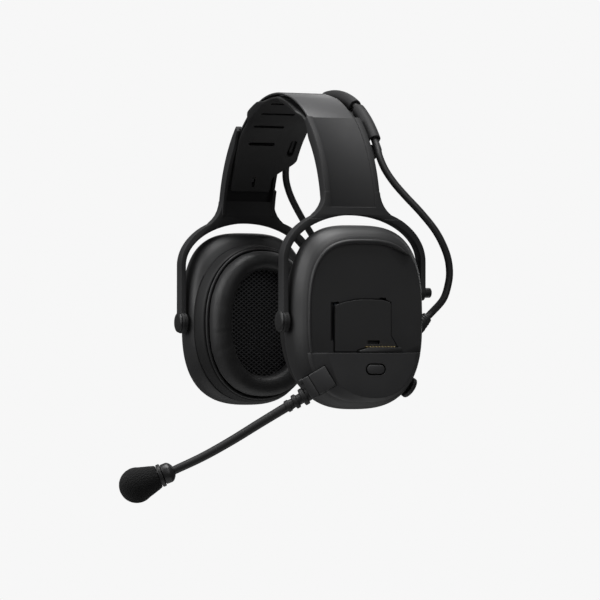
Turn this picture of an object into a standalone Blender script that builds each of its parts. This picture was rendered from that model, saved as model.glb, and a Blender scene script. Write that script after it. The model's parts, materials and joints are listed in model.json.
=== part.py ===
"""Communication headset with a boom microphone.

The wearer faces -Y and +X is the wearer's left. The origin is the middle of the comfort strap's
underside, where the headband rests on the head. Everything is in metres.
"""
import math

import bmesh
import bpy
from mathutils import Matrix, Vector

GAP = 0.0003                 # clearance between touching pieces

# Headband: everything on it is turned about one line along Y through ARC_Z.
STRAP_INNER = 0.0738         # radius of the comfort strap's underside at the crown
ARC_Z = -STRAP_INNER
BAND_OUTER = 0.0780
BAND_THICK = 0.0012
BAND_HALF = 0.0146
BAND_END = 70.0              # degrees from the crown
SPRING_THICK = 0.0006
SPRING_HALF = 0.0110
STRAP_THICK = 0.0017
WING_EDGE = 0.0270           # rear edge of the strap's wing
WING_END = 55.0
LIP_DEPTH = 0.0040           # how far the strap's front lip stands out in front of the band
TONGUE_HALF = 0.0132
STRAP_END = 72.0
STRAP_SLOTS = ((9.5, 0.021), (21.3, 0.022), (34.2, 0.020), (46.3, 0.017))

# Arms: a channel on the band's arc that becomes a fork.
ARM_OUTER = 0.0802
ARM_PLATE = 0.0019
ARM_HALF = 0.01725
ARM_TOP = 40.6               # degrees from the crown
ARM_FOOT = 86.0
FLANGE = 0.0019
FLANGE_FRONT = 0.0728        # inner radius of the front flange
FLANGE_REAR = 0.0755         # inner radius of the rear flange under the wing
FORK_X = 0.07675             # middle of the fork's depth
FORK_DEPTH = 0.0075
FORK_MID_Y = 0.0007
FORK_OUT = (0.0447, 0.0310)  # half axes of the fork's outer arch
FORK_IN = (0.0417, 0.0262)
FORK_ARCH_UP = 0.0345        # arch centre above the pivots

# Cups: heights are measured from the front pivot.
PIVOT_Z = -0.1313
PIVOT_X = 0.0762
PIVOT_FRONT_Y = -0.0440
REAR_PIVOT_UP = 0.0166
CUP_Y = 0.0009
WALL = 0.0022
SEAM_X = 0.0672
FLOOR_X = 0.0920             # floor of the dock recess
FACE_THICK = 0.0013
POD_X = 0.0972               # face of the control pod
LEDGE_UP = -0.0180           # top edge of the pod
POD_OUTLINE = ((0.0312, LEDGE_UP), (-0.0241, LEDGE_UP), (-0.0228, -0.0235), (-0.0205, -0.0290),
               (-0.0180, -0.0340), (-0.0142, -0.0380), (-0.0092, -0.0407), (-0.0032, -0.0424),
               (0.0032, -0.0430), (0.0095, -0.0427), (0.0152, -0.0413), (0.0210, -0.0383),
               (0.0252, -0.0345), (0.0284, -0.0295), (0.0304, -0.0240))
BUTTON_Y = 0.0058
BUTTON_UP = -0.0274

# Boom: it runs forward, down and inward in one upright plane.
BOOM_SIDE = math.radians(66.0)
BOOM_OUT = 0.0940            # distance of that plane from the middle
BOOM_R = 0.00285
SOCKET_REACH = 0.0053        # half the length of the boom's socket
JACK_DROP = 0.0026
BOOT_LENGTH = 0.0152
CABLE_R = 0.0021
CABLE_RADIUS = 0.0767        # the cable's radius on the band
CABLE_Y = 0.0225

BLACK = (0.030, 0.030, 0.033)
DARK = (0.022, 0.022, 0.024)
SOFT = (0.018, 0.018, 0.019)
GOLD = (0.83, 0.62, 0.25)
STEEL = (0.55, 0.55, 0.56)


# ---------------------------------------------------------------- scene and helpers
def clear_scene():
    for item in list(bpy.data.objects):
        bpy.data.objects.remove(item, do_unlink=True)


def collection(name):
    group = bpy.data.collections.new(name)
    bpy.context.scene.collection.children.link(group)
    return group


clear_scene()
PARTS = collection("headset_microphone")
CUTTERS = collection("cutters")


def material(name, color, roughness, metallic=0.0):
    surface = bpy.data.materials.new(name)
    surface.use_nodes = True
    shader = surface.node_tree.nodes["Principled BSDF"]
    shader.inputs["Base Color"].default_value = (*color, 1.0)
    shader.inputs["Roughness"].default_value = roughness
    shader.inputs["Metallic"].default_value = metallic
    return surface


def finish(item, color, roughness=0.6, metallic=0.0, group=PARTS, smooth=30.0):
    """Put an object in its collection, with its own material and shading."""
    for old in list(item.users_collection):
        old.objects.unlink(item)
    group.objects.link(item)
    if group is CUTTERS:
        item.hide_render = True
        item.display_type = "WIRE"
        return item
    item.data.materials.clear()
    item.data.materials.append(material(item.name, color, roughness, metallic))
    item.data.shade_smooth()
    item.data.set_sharp_from_angle(angle=math.radians(smooth))
    return item


def mesh_object(name, bm):
    bmesh.ops.remove_doubles(bm, verts=bm.verts, dist=0.000001)
    bmesh.ops.recalc_face_normals(bm, faces=bm.faces)
    mesh = bpy.data.meshes.new(name)
    bm.to_mesh(mesh)
    bm.free()
    item = bpy.data.objects.new(name, mesh)
    bpy.context.scene.collection.objects.link(item)
    return item


def modifier(item, kind, **settings):
    made = item.modifiers.new(kind.title(), kind)
    for key, value in settings.items():
        setattr(made, key, value)
    return made


def cut(item, cutter, operation="DIFFERENCE"):
    modifier(item, "BOOLEAN", object=cutter, operation=operation, solver="EXACT")


def box(name, size, place):
    """A box with its centre at the origin of the matrix."""
    bm = bmesh.new()
    bmesh.ops.create_cube(bm, size=1.0)
    bmesh.ops.scale(bm, vec=Vector(size), verts=bm.verts)
    item = mesh_object(name, bm)
    item.matrix_world = place
    return item


def along(origin, axis, side=(1.0, 0.0, 0.0)):
    """A place whose Z runs along the axis."""
    up = Vector(axis).normalized()
    across = Vector(side) - up * Vector(side).dot(up)
    across.normalize()
    ahead = up.cross(across)
    turn = Matrix((across, ahead, up)).transposed().to_4x4()
    return Matrix.Translation(Vector(origin)) @ turn


def turned(name, profile, place, steps=24):
    """A profile of (radius, height) points, from the top down its outer side, about the axis."""
    bm = bmesh.new()
    ring = profile[0] == profile[-1]
    points = [bm.verts.new((r, 0.0, height)) for r, height in (profile[:-1] if ring else profile)]
    for first, second in zip(points, points[1:] + points[:1] if ring else points[1:]):
        bm.edges.new((first, second))
    mesh = bpy.data.meshes.new(name)
    bm.to_mesh(mesh)
    bm.free()
    item = bpy.data.objects.new(name, mesh)
    bpy.context.scene.collection.objects.link(item)
    item.matrix_world = place
    modifier(item, "SCREW", steps=steps, render_steps=steps, use_merge_vertices=True,
             merge_threshold=0.00001)
    return item


def flat_plate(name, outline, thickness, place):
    """A flat outline with its thickness centred on the place's XY plane, as a welded mesh."""
    curve = bpy.data.curves.new(name, "CURVE")
    curve.dimensions = "2D"
    curve.fill_mode = "BOTH"
    curve.extrude = thickness / 2
    spline = curve.splines.new("POLY")
    spline.points.add(len(outline) - 1)
    for point, (across, up) in zip(spline.points, outline):
        point.co = (across, up, 0.0, 1.0)
    spline.use_cyclic_u = True
    drawn = bpy.data.objects.new(name + "_outline", curve)
    bpy.context.scene.collection.objects.link(drawn)
    drawn.matrix_world = place
    bpy.context.view_layer.update()
    view = bpy.context.evaluated_depsgraph_get()
    mesh = bpy.data.meshes.new_from_object(drawn.evaluated_get(view))
    mesh.name = name
    item = bpy.data.objects.new(name, mesh)
    bpy.context.scene.collection.objects.link(item)
    item.matrix_world = drawn.matrix_world
    bpy.data.objects.remove(drawn, do_unlink=True)
    bm = bmesh.new()
    bm.from_mesh(mesh)
    bmesh.ops.remove_doubles(bm, verts=bm.verts, dist=0.000001)
    bmesh.ops.recalc_face_normals(bm, faces=bm.faces)
    bm.to_mesh(mesh)
    bm.free()
    return item


def tube(name, points, radius, resolution=2):
    curve = bpy.data.curves.new(name, "CURVE")
    curve.dimensions = "3D"
    curve.bevel_depth = radius
    curve.bevel_resolution = resolution
    curve.use_fill_caps = True
    spline = curve.splines.new("POLY")
    spline.points.add(len(points) - 1)
    for point, place in zip(spline.points, points):
        point.co = (*place, 1.0)
    drawn = bpy.data.objects.new(name, curve)
    bpy.context.scene.collection.objects.link(drawn)
    for old in list(drawn.users_collection):
        old.objects.unlink(drawn)
    PARTS.objects.link(drawn)
    curve.materials.append(material(name, SOFT, 0.6))
    return drawn


def loft(name, rings, closed=False):
    """Skin a list of rings; closed joins the last ring to the first, else the ends are capped."""
    bm = bmesh.new()
    loops = [[bm.verts.new(point) for point in ring] for ring in rings]
    pairs = list(zip(loops, loops[1:]))
    if closed:
        pairs.append((loops[-1], loops[0]))
    for first, second in pairs:
        for index in range(len(first)):
            after = (index + 1) % len(first)
            bm.faces.new((first[index], first[after], second[after], second[index]))
    if not closed:
        bm.faces.new(loops[0])
        bm.faces.new(loops[-1])
    return mesh_object(name, bm)


def mirrored(item, name):
    """The wearer's right-hand copy of a left-hand piece, as its own mesh."""
    bpy.context.view_layer.update()
    view = bpy.context.evaluated_depsgraph_get()
    shape = item.evaluated_get(view)
    mesh = bpy.data.meshes.new_from_object(shape)
    mesh.name = name
    mesh.transform(item.matrix_world)
    mesh.transform(Matrix.Scale(-1.0, 4, (1.0, 0.0, 0.0)))
    mesh.flip_normals()
    made = bpy.data.objects.new(name, mesh)
    bpy.context.scene.collection.objects.link(made)
    return made


# ---------------------------------------------------------------- shapes
def on_arc(radius, degrees, across):
    turn = math.radians(degrees)
    return Vector((radius * math.sin(turn), across, ARC_Z + radius * math.cos(turn)))


def arc_solid(name, profile, start, end, steps):
    """Turn a flat profile of (radius, y) points about the headband's centre line."""
    bm = bmesh.new()
    loop = [bm.verts.new(on_arc(radius, start, across)) for radius, across in profile]
    face = bm.faces.new(loop)
    bmesh.ops.spin(bm, geom=[face, *face.edges, *loop], cent=(0.0, 0.0, ARC_Z),
                   axis=(0.0, 1.0, 0.0), angle=math.radians(end - start), steps=steps)
    return mesh_object(name, bm)


def oval(half_y, up, down, square_up=2.2, square_down=2.3, count=26, middle=CUP_Y):
    """A superellipse in (y, z) about the cup's middle, flatter on top than below."""
    points = []
    for index in range(count):
        turn = 2 * math.pi * index / count
        side, rise = math.cos(turn), math.sin(turn)
        power = square_up if rise >= 0 else square_down
        height = up if rise >= 0 else down
        y = half_y * math.copysign(abs(side) ** (2 / power), side)
        z = height * math.copysign(abs(rise) ** (2 / power), rise)
        points.append((middle + y, PIVOT_Z + z))
    return points


def oval_ring(x, half_y, up, down, square_up=2.2, square_down=2.3, count=26):
    return [Vector((x, y, z)) for y, z in oval(half_y, up, down, square_up, square_down, count)]


def oval_disc(name, x, thickness, half_y, up, down, count=24):
    first = oval_ring(x, half_y, up, down, count=count)
    second = oval_ring(x + thickness, half_y, up, down, count=count)
    return loft(name, [first, second])


def facing_x(x):
    """A place whose XY plane is the world's YZ plane at x."""
    return Matrix(((0, 0, 1, x), (1, 0, 0, 0), (0, 1, 0, 0), (0, 0, 0, 1)))


def arc_points(centre, half, start, end, count):
    """Points of an ellipse in a flat outline, angles in degrees."""
    points = []
    for index in range(count + 1):
        turn = math.radians(start + (end - start) * index / count)
        points.append((centre[0] + half[0] * math.cos(turn), centre[1] + half[1] * math.sin(turn)))
    return points


# ---------------------------------------------------------------- headband
def smooth_step(value, start, end):
    ratio = min(max((value - start) / (end - start), 0.0), 1.0)
    return ratio * ratio * (3 - 2 * ratio)


def strap_radius(degrees, across):
    """Outer radius: the strap dips beside the crown and under the wing, and its lip curls up."""
    turn = abs(degrees)
    dip = 0.0019 * smooth_step(turn, 3.0, 18.0) * (1 - smooth_step(turn, 24.0, 38.0))
    body = STRAP_INNER + STRAP_THICK - dip - 0.0006 * smooth_step(turn, 24.0, 38.0)
    wing = min(body, STRAP_INNER + 0.0005)
    body += (BAND_OUTER - 0.0016 - body) * smooth_step(-across, 0.0160, 0.0190)
    return body + (wing - body) * smooth_step(across, 0.0130, 0.0165)


def strap_edges(degrees):
    turn = abs(degrees)
    front = -0.0150 + (0.0150 - TONGUE_HALF) * smooth_step(turn, 45.0, 62.0)
    front -= LIP_DEPTH * smooth_step(turn, 4.0, 14.0) * (1 - smooth_step(turn, 24.0, 34.0))
    taper = smooth_step(turn, WING_END, WING_END + 11.5)
    rear = WING_EDGE + (TONGUE_HALF - WING_EDGE) * taper
    return front, rear


def comfort_strap():
    """A thin open surface along the arc, given its thickness by Solidify."""
    rows, columns = 32, 8
    bm = bmesh.new()
    grid = []
    for row in range(rows + 1):
        degrees = -STRAP_END + 2 * STRAP_END * row / rows
        front, rear = strap_edges(degrees)
        line = []
        for column in range(columns + 1):
            across = front + (rear - front) * column / columns
            line.append(bm.verts.new(on_arc(strap_radius(degrees, across), degrees, across)))
        grid.append(line)
    for first, second in zip(grid, grid[1:]):
        for column in range(columns):
            bm.faces.new((first[column], first[column + 1], second[column + 1], second[column]))
    mesh = bpy.data.meshes.new("comfort_strap")
    bm.to_mesh(mesh)
    bm.free()
    strap = bpy.data.objects.new("comfort_strap", mesh)
    bpy.context.scene.collection.objects.link(strap)
    bpy.context.view_layer.update()
    outward = mesh.polygons[len(mesh.polygons) // 2].normal.z > 0
    modifier(strap, "SOLIDIFY", thickness=STRAP_THICK, offset=-1.0 if outward else 1.0)
    for side in (-1, 1):
        for degrees, length in STRAP_SLOTS:
            slot = box(f"strap_slot_{side}_{degrees}", (0.0024, length, 0.012),
                       slot_place(side * degrees, 0.0))
            cut(strap, finish(slot, BLACK, group=CUTTERS))
        vent = box(f"wing_slot_{side}", (0.0125, 0.0044, 0.012), slot_place(side * 48.5, 0.0207))
        cut(strap, finish(vent, BLACK, group=CUTTERS))
        notch = box(f"tongue_slot_{side}", (0.0060, 0.0020, 0.012), slot_place(side * 67.5, 0.0013))
        cut(strap, finish(notch, BLACK, group=CUTTERS))
    return finish(strap, SOFT, 0.65)


def slot_place(degrees, across):
    """A place on the strap: local X along the arc, local Z outward."""
    outward = on_arc(1.0, degrees, 0.0) - on_arc(0.0, 0.0, 0.0)
    return along(on_arc(STRAP_INNER, degrees, across), outward, (outward.z, 0.0, -outward.x))


def headband():
    inner = BAND_OUTER - BAND_THICK
    cover = arc_solid("band_cover", [(inner, -BAND_HALF), (BAND_OUTER - 0.0003, -BAND_HALF),
                                     (BAND_OUTER, -BAND_HALF + 0.0008),
                                     (BAND_OUTER, BAND_HALF - 0.0008),
                                     (BAND_OUTER - 0.0003, BAND_HALF), (inner, BAND_HALF)],
                      -BAND_END, BAND_END, 28)
    finish(cover, BLACK, 0.45)
    top = inner - GAP
    leaf = arc_solid("spring_leaf", [(top - SPRING_THICK, -SPRING_HALF), (top, -SPRING_HALF),
                                     (top, SPRING_HALF), (top - SPRING_THICK, SPRING_HALF)],
                     -BAND_END + 2, BAND_END - 2, 24)
    finish(leaf, STEEL, 0.35, 1.0)
    comfort_strap()


def cable_guide(name, start, end):
    """An upside-down channel that stands on the wing and holds the cable down."""
    foot = STRAP_INNER + 0.0005 + GAP
    outer, inner = CABLE_R + 0.0016, CABLE_R + GAP
    profile = [(foot, CABLE_Y - outer)]
    for turn in range(180, -1, -36):
        angle = math.radians(turn)
        profile.append((CABLE_RADIUS + outer * math.sin(angle), CABLE_Y + outer * math.cos(angle)))
    profile.append((foot, CABLE_Y + outer))
    profile.append((foot, CABLE_Y + inner))
    for turn in range(0, 181, 36):
        angle = math.radians(turn)
        profile.append((CABLE_RADIUS + inner * math.sin(angle), CABLE_Y + inner * math.cos(angle)))
    profile.append((foot, CABLE_Y - inner))
    finish(arc_solid(name, profile, start, end, max(4, int(abs(end - start) / 4))), DARK, 0.55)


def smooth_route(points, spacing):
    """Points at an even spacing on a smooth curve through the route's own points."""
    places = [Vector(point) for point in points]
    ends = [places[0] * 2 - places[1], *places, places[-1] * 2 - places[-2]]
    fine = []
    for before, first, second, after in zip(ends, ends[1:], ends[2:], ends[3:]):
        for step in range(20):
            t = step / 20
            fine.append(0.5 * (2 * first + (second - before) * t
                               + (2 * before - 5 * first + 4 * second - after) * t * t
                               + (3 * first - before - 3 * second + after) * t ** 3))
    fine.append(places[-1])
    length = sum((b - a).length for a, b in zip(fine, fine[1:]))
    count = max(2, round(length / spacing))
    wanted = [length * index / count for index in range(count + 1)]
    route, walked, index = [fine[0]], 0.0, 0
    for goal in wanted[1:-1]:
        while walked + (fine[index + 1] - fine[index]).length < goal:
            walked += (fine[index + 1] - fine[index]).length
            index += 1
        part = (goal - walked) / (fine[index + 1] - fine[index]).length
        route.append(fine[index].lerp(fine[index + 1], part))
    route.append(fine[-1])
    return route


GLAND_AXIS = Vector((0.04, 0.74, 0.67)).normalized()
GLAND_FOOT = Vector((0.0805, 0.0400, PIVOT_Z - 0.0030))


def loop_route():
    """The left loop: from the guide on the wing, out behind the arm, and back to the gland."""
    heights = ((0.0636, 0.0226, 0.1003), (0.0672, 0.0226, 0.0944), (0.0708, 0.0244, 0.0872),
               (0.0745, 0.0284, 0.0795), (0.0782, 0.0340, 0.0718), (0.0825, 0.0420, 0.0620),
               (0.0850, 0.0503, 0.0510), (0.0856, 0.0563, 0.0390), (0.0852, 0.0584, 0.0290),
               (0.0846, 0.0576, 0.0205), (0.0838, 0.0548, 0.0125))
    route = [(x, y, PIVOT_Z + up) for x, y, up in heights]
    end = GLAND_FOOT + GLAND_AXIS * (0.0085 + GAP)
    route.append(tuple(end + GLAND_AXIS * 0.0035))
    route.append(tuple(end))
    return route


def cable():
    crown = []
    steps = 24
    for index in range(steps + 1):
        crown.append(on_arc(CABLE_RADIUS, -51.0 + 102.0 * index / steps, CABLE_Y))
    tube("cable_crown", crown, CABLE_R)
    start = on_arc(CABLE_RADIUS, 51.4, CABLE_Y)
    left = smooth_route([tuple(start), *loop_route()], 0.0052)
    tube("cable_left", left, CABLE_R)
    tube("cable_right", [Vector((-point.x, point.y, point.z)) for point in left], CABLE_R)
    cable_guide("cable_guide_crown", -5.0, 26.0)
    cable_guide("cable_guide_left", 30.0, 50.0)
    cable_guide("cable_guide_right", -50.0, -20.0)


# ---------------------------------------------------------------- arms
def fork_outline():
    """Half-plane outline in (y, z): neck, flare, arch and legs, with both leg ends rounded."""
    neck_top = PIVOT_Z + 0.0740
    arch = PIVOT_Z + FORK_ARCH_UP
    outer = arc_points((FORK_MID_Y, arch), FORK_OUT, 0, 56, 6)
    flare = [(0.0215, PIVOT_Z + 0.0630), (0.0186, PIVOT_Z + 0.0668), (ARM_HALF, PIVOT_Z + 0.0700)]
    right = [(FORK_MID_Y + FORK_OUT[0], PIVOT_Z + REAR_PIVOT_UP)]
    half_rear = [*right, *outer, *flare, (ARM_HALF, neck_top)]
    left_outer = [(2 * FORK_MID_Y - y, z) for y, z in reversed(outer)]
    left_flare = [(-y, z) for y, z in reversed(flare)]
    front = [(-ARM_HALF, neck_top), *left_flare, *left_outer,
             (FORK_MID_Y - FORK_OUT[0], PIVOT_Z)]
    inner = arc_points((FORK_MID_Y, arch), FORK_IN, 180, 0, 14)
    inside = [(FORK_MID_Y - FORK_IN[0], PIVOT_Z), *inner,
              (FORK_MID_Y + FORK_IN[0], PIVOT_Z + REAR_PIVOT_UP)]
    return half_rear + front + inside


def arm():
    """The left arm: channel, neck and fork joined into one piece."""
    plate_in = ARM_OUTER - ARM_PLATE
    wall = ARM_HALF - FLANGE
    profile = [(ARM_OUTER, -ARM_HALF + 0.0005), (ARM_OUTER - 0.0005, -ARM_HALF),
               (FLANGE_FRONT, -ARM_HALF), (FLANGE_FRONT, -wall), (plate_in, -wall),
               (plate_in, wall), (FLANGE_FRONT, wall), (FLANGE_FRONT, ARM_HALF),
               (ARM_OUTER - 0.0005, ARM_HALF), (ARM_OUTER, ARM_HALF - 0.0005)]
    body = arc_solid("arm_left", profile, ARM_TOP, ARM_FOOT, 12)
    fork = flat_plate("fork", fork_outline(), FORK_DEPTH, facing_x(FORK_X))
    cut(body, finish(fork, BLACK, group=CUTTERS), "UNION")
    for name, y, up, radius in (("front_eye", FORK_MID_Y - 0.0432, 0.0, 0.0062),
                                ("rear_eye", FORK_MID_Y + 0.0432, REAR_PIVOT_UP, 0.0045)):
        place = along((PIVOT_X, y, PIVOT_Z + up), (0, 1, 0))
        eye = turned(name, [(0, 0.0016), (radius, 0.0016), (radius, -0.0016), (0, -0.0016)],
                     place, 16)
        cut(body, finish(eye, BLACK, group=CUTTERS), "UNION")
        hole = turned(name + "_hole", [(0, 0.006), (0.0024, 0.006), (0.0024, -0.006), (0, -0.006)],
                      place, 12)
        cut(body, finish(hole, BLACK, group=CUTTERS))
    relief = arc_solid("flange_relief", [(0.0700, wall - 0.0020), (FLANGE_REAR, wall - 0.0020),
                                         (FLANGE_REAR, ARM_HALF + 0.002),
                                         (0.0700, ARM_HALF + 0.002)], ARM_TOP - 2, 71.5, 8)
    cut(body, finish(relief, BLACK, group=CUTTERS))
    corner = arc_solid("flange_corner", [(0.0700, -ARM_HALF - 0.002), (0.0762, -ARM_HALF - 0.002),
                                         (0.0762, -wall + 0.002), (0.0700, -wall + 0.002)],
                       ARM_TOP - 2, ARM_TOP + 3.5, 2)
    cut(body, finish(corner, BLACK, group=CUTTERS))
    panel = arc_solid("arm_panel_recess", [(ARM_OUTER - 0.0006, -0.0136), (0.0830, -0.0136),
                                           (0.0830, 0.0136), (ARM_OUTER - 0.0006, 0.0136)],
                      ARM_TOP - 2, 80.0, 9)
    cut(body, finish(panel, BLACK, group=CUTTERS))
    finish(body, BLACK, 0.5)
    finish(mirrored(body, "arm_right"), BLACK, 0.5)


def pivots():
    """Studs through the leg ends, and the bush between the front leg and the cup."""
    front_y = FORK_MID_Y - FORK_OUT[0]
    rear_y = FORK_MID_Y + FORK_OUT[0]
    front = along((PIVOT_X, front_y, PIVOT_Z), (0, -1, 0))
    stud = turned("front_stud_left", [(0, 0.0014), (0.0055, 0.0014), (0.0063, 0.0009),
                                      (0.0063, 0.0004), (0.0021, 0.0004), (0.0021, -0.0066),
                                      (0, -0.0066)], front, 20)
    bush = turned("front_bush_left", [(0.0025, -0.0034), (0.0050, -0.0034), (0.0050, -0.0043),
                                      (0.0025, -0.0043), (0.0025, -0.0034)], front, 20)
    rear = along((PIVOT_X, rear_y, PIVOT_Z + REAR_PIVOT_UP), (0, 1, 0))
    pin = turned("rear_stud_left", [(0, 0.0040), (0.0025, 0.0040), (0.0028, 0.0037),
                                    (0.0028, 0.0004), (0.0020, 0.0004), (0.0020, -0.0062),
                                    (0, -0.0062)], rear, 16)
    for item, color, rough in ((stud, BLACK, 0.4), (bush, DARK, 0.6), (pin, BLACK, 0.5)):
        finish(item, color, rough)
        finish(mirrored(item, item.name.replace("left", "right")), color, rough)


# ---------------------------------------------------------------- cups
SHELL_STATIONS = (
    # x, half width, up, down, squareness up and down
    (SEAM_X + GAP, 0.0391, 0.0476, 0.0485, 2.2, 2.3),
    (0.0700, 0.0398, 0.0512, 0.0492, 2.5, 2.45),
    (0.0740, 0.0403, 0.0540, 0.0500, 2.8, 2.6),
    (0.0785, 0.0404, 0.0549, 0.0502, 3.1, 2.65),
    (0.0840, 0.0400, 0.0541, 0.0496, 3.1, 2.65),
    (0.0890, 0.0381, 0.0515, 0.0478, 3.0, 2.65),
    (0.0920, 0.0363, 0.0481, 0.0460, 3.0, 2.6),
)
RIM_X = 0.0939
OPENING = (0.0346, 0.0446, 0.0442, 3.0, 2.6)


def shell_surface(name):
    """The shell's skin: lofted ovals, open at the back and at the face, with Solidify."""
    rings = [oval_ring(x, half, up, down, a, b) for x, half, up, down, a, b in SHELL_STATIONS]
    rings.append(oval_ring(RIM_X, *OPENING))
    bm = bmesh.new()
    loops = [[bm.verts.new(point) for point in ring] for ring in rings]
    for first, second in zip(loops, loops[1:]):
        for index in range(len(first)):
            after = (index + 1) % len(first)
            bm.faces.new((first[index], first[after], second[after], second[index]))
    mesh = bpy.data.meshes.new(name)
    bm.to_mesh(mesh)
    bm.free()
    shell = bpy.data.objects.new(name, mesh)
    bpy.context.scene.collection.objects.link(shell)
    top = max(mesh.polygons, key=lambda face: face.center.z)
    outward = top.normal.z > 0
    modifier(shell, "SOLIDIFY", thickness=WALL, offset=-1.0 if outward else 1.0,
             use_even_offset=True)
    return shell


def pivot_holes(shell):
    for name, y, up, radius in (("front", -0.040, 0.0, 0.0026),
                                ("rear", 0.041, REAR_PIVOT_UP, 0.0025)):
        hole = turned(f"{shell.name}_{name}_hole", [(0, 0.006), (radius, 0.006),
                                                    (radius, -0.006), (0, -0.006)],
                      along((PIVOT_X, y, PIVOT_Z + up), (0, 1, 0)), 16)
        cut(shell, finish(hole, BLACK, group=CUTTERS))
    hole = turned(f"{shell.name}_gland_hole", [(0, 0.007), (0.0034, 0.007),
                                               (0.0034, -0.007), (0, -0.007)],
                  along(GLAND_FOOT, GLAND_AXIS), 16)
    cut(shell, finish(hole, BLACK, group=CUTTERS))


def back_ring():
    """The frame behind the shell: a raised rim, and the seat that the cushion clips to."""
    section = ((SEAM_X - GAP, 0.0391, 0.0474, 0.0485), (0.0620, 0.0383, 0.0469, 0.0481),
               (0.0577, 0.0370, 0.0462, 0.0477), (0.0570, 0.0362, 0.0454, 0.0469),
               (0.0576, 0.0354, 0.0446, 0.0461), (0.0600, 0.0351, 0.0443, 0.0458),
               (0.0600, 0.0246, 0.0352, 0.0352), (0.0618, 0.0246, 0.0352, 0.0352),
               (0.0622, 0.0346, 0.0436, 0.0452), (SEAM_X - GAP, 0.0362, 0.0448, 0.0462))
    return loft("back_ring_left", [oval_ring(*numbers) for numbers in section], closed=True)


def ear_cushion():
    """A coarse ring of sections, rounded by subdivision."""
    section = ((0.0596, 0.0330, 0.0422, 0.0437), (0.0532, 0.0348, 0.0440, 0.0455),
               (0.0462, 0.0328, 0.0420, 0.0435), (0.0444, 0.0272, 0.0366, 0.0378),
               (0.0486, 0.0208, 0.0312, 0.0312), (0.0596, 0.0215, 0.0325, 0.0325))
    rings = [oval_ring(x, half, up, down, count=16) for x, half, up, down in section]
    cushion = loft("ear_cushion_left", rings, closed=True)
    for edge in cushion.data.edges:
        first, second = (cushion.data.vertices[index].co for index in edge.vertices)
        if abs(first.x - 0.0596) < 0.0001 and abs(second.x - 0.0596) < 0.0001:
            attribute = cushion.data.attributes.get("crease_edge")
            if attribute is None:
                attribute = cushion.data.attributes.new("crease_edge", "FLOAT", "EDGE")
            attribute.data[edge.index].value = 1.0
    modifier(cushion, "SUBSURF", levels=1, render_levels=1)
    return cushion


def cup_inside():
    """Mesh cover, ear foam, baffle plate and loudspeaker, all behind the cushion."""
    mesh_cover = oval_disc("mesh_cover_left", 0.0603, 0.0008, 0.0242, 0.0348, 0.0348)
    foam = oval_disc("ear_foam_left", 0.0622, 0.0016, 0.0236, 0.0340, 0.0340)
    baffle = oval_disc("baffle_left", 0.0642, 0.0016, 0.0335, 0.0425, 0.0440)
    middle = (0.0, CUP_Y, PIVOT_Z)
    speaker = turned("loudspeaker_left", [(0, 0.0785), (0.0090, 0.0785), (0.0090, 0.0748),
                                          (0.0165, 0.0742), (0.0170, 0.0680), (0.0205, 0.0675),
                                          (0.0205, 0.0661), (0, 0.0661)],
                     along(middle, (1, 0, 0), (0, 1, 0)), 20)
    finish(mesh_cover, DARK, 0.8)
    finish(foam, SOFT, 0.95)
    finish(baffle, DARK, 0.6)
    finish(speaker, STEEL, 0.4, 0.6)
    return mesh_cover, foam, baffle, speaker


def gland():
    """The cable's strain relief: a stem through the wall and a stepped collar outside."""
    return turned("cable_gland_left", [(0, 0.0085), (0.0029, 0.0085), (0.0036, 0.0077),
                                       (0.0039, 0.0059), (0.0030, 0.0059), (0.0030, -0.0030),
                                       (0, -0.0030)], along(GLAND_FOOT, GLAND_AXIS), 16)


def inset_opening():
    """The cup's face opening, reduced to clear the shell's wall."""
    half, up, down, square_up, square_down = OPENING
    inset = WALL
    return oval(half - inset, up - inset, down - inset, square_up, square_down)


def cups():
    left = shell_surface("cup_shell_left")
    pivot_holes(left)
    finish(mirrored(left, "cup_shell_right"), BLACK, 0.5)
    ring = finish(back_ring(), BLACK, 0.5)
    finish(mirrored(ring, "back_ring_right"), BLACK, 0.5)
    cushion = finish(ear_cushion(), SOFT, 0.7)
    finish(mirrored(cushion, "ear_cushion_right"), SOFT, 0.7)
    for piece in cup_inside():
        copy = mirrored(piece, piece.name.replace("left", "right"))
        shader = piece.data.materials[0].node_tree.nodes["Principled BSDF"]
        color = tuple(shader.inputs["Base Color"].default_value)[:3]
        finish(copy, color, shader.inputs["Roughness"].default_value,
               shader.inputs["Metallic"].default_value)
    stem = finish(gland(), DARK, 0.6)
    finish(mirrored(stem, "cable_gland_right"), DARK, 0.6)
    plate = flat_plate("face_plate_right", inset_opening(), FACE_THICK,
                       facing_x(-RIM_X + 0.0008))
    finish(plate, BLACK, 0.5)
    return left


# ---------------------------------------------------------------- left cup's face
SOCKET_ALONG = Vector((-0.857 * math.cos(BOOM_SIDE), -0.857 * math.sin(BOOM_SIDE), -0.515))
SOCKET_ALONG.normalize()
BOOM_ACROSS = Vector((math.sin(BOOM_SIDE), -math.cos(BOOM_SIDE), 0.0))


def boom_point(forward, up):
    """A point in the boom's plane; forward is measured away from the middle, up from the pivots."""
    across = BOOM_ACROSS * BOOM_OUT
    ahead = Vector((math.cos(BOOM_SIDE), math.sin(BOOM_SIDE), 0.0)) * -forward
    return across + ahead + Vector((0.0, 0.0, PIVOT_Z + up))


KNOB_AXIS = Vector((0.0, 0.847, -0.532)).normalized()
KNOB_END = Vector((0.0800, 0.0363, PIVOT_Z - 0.0388))


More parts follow.
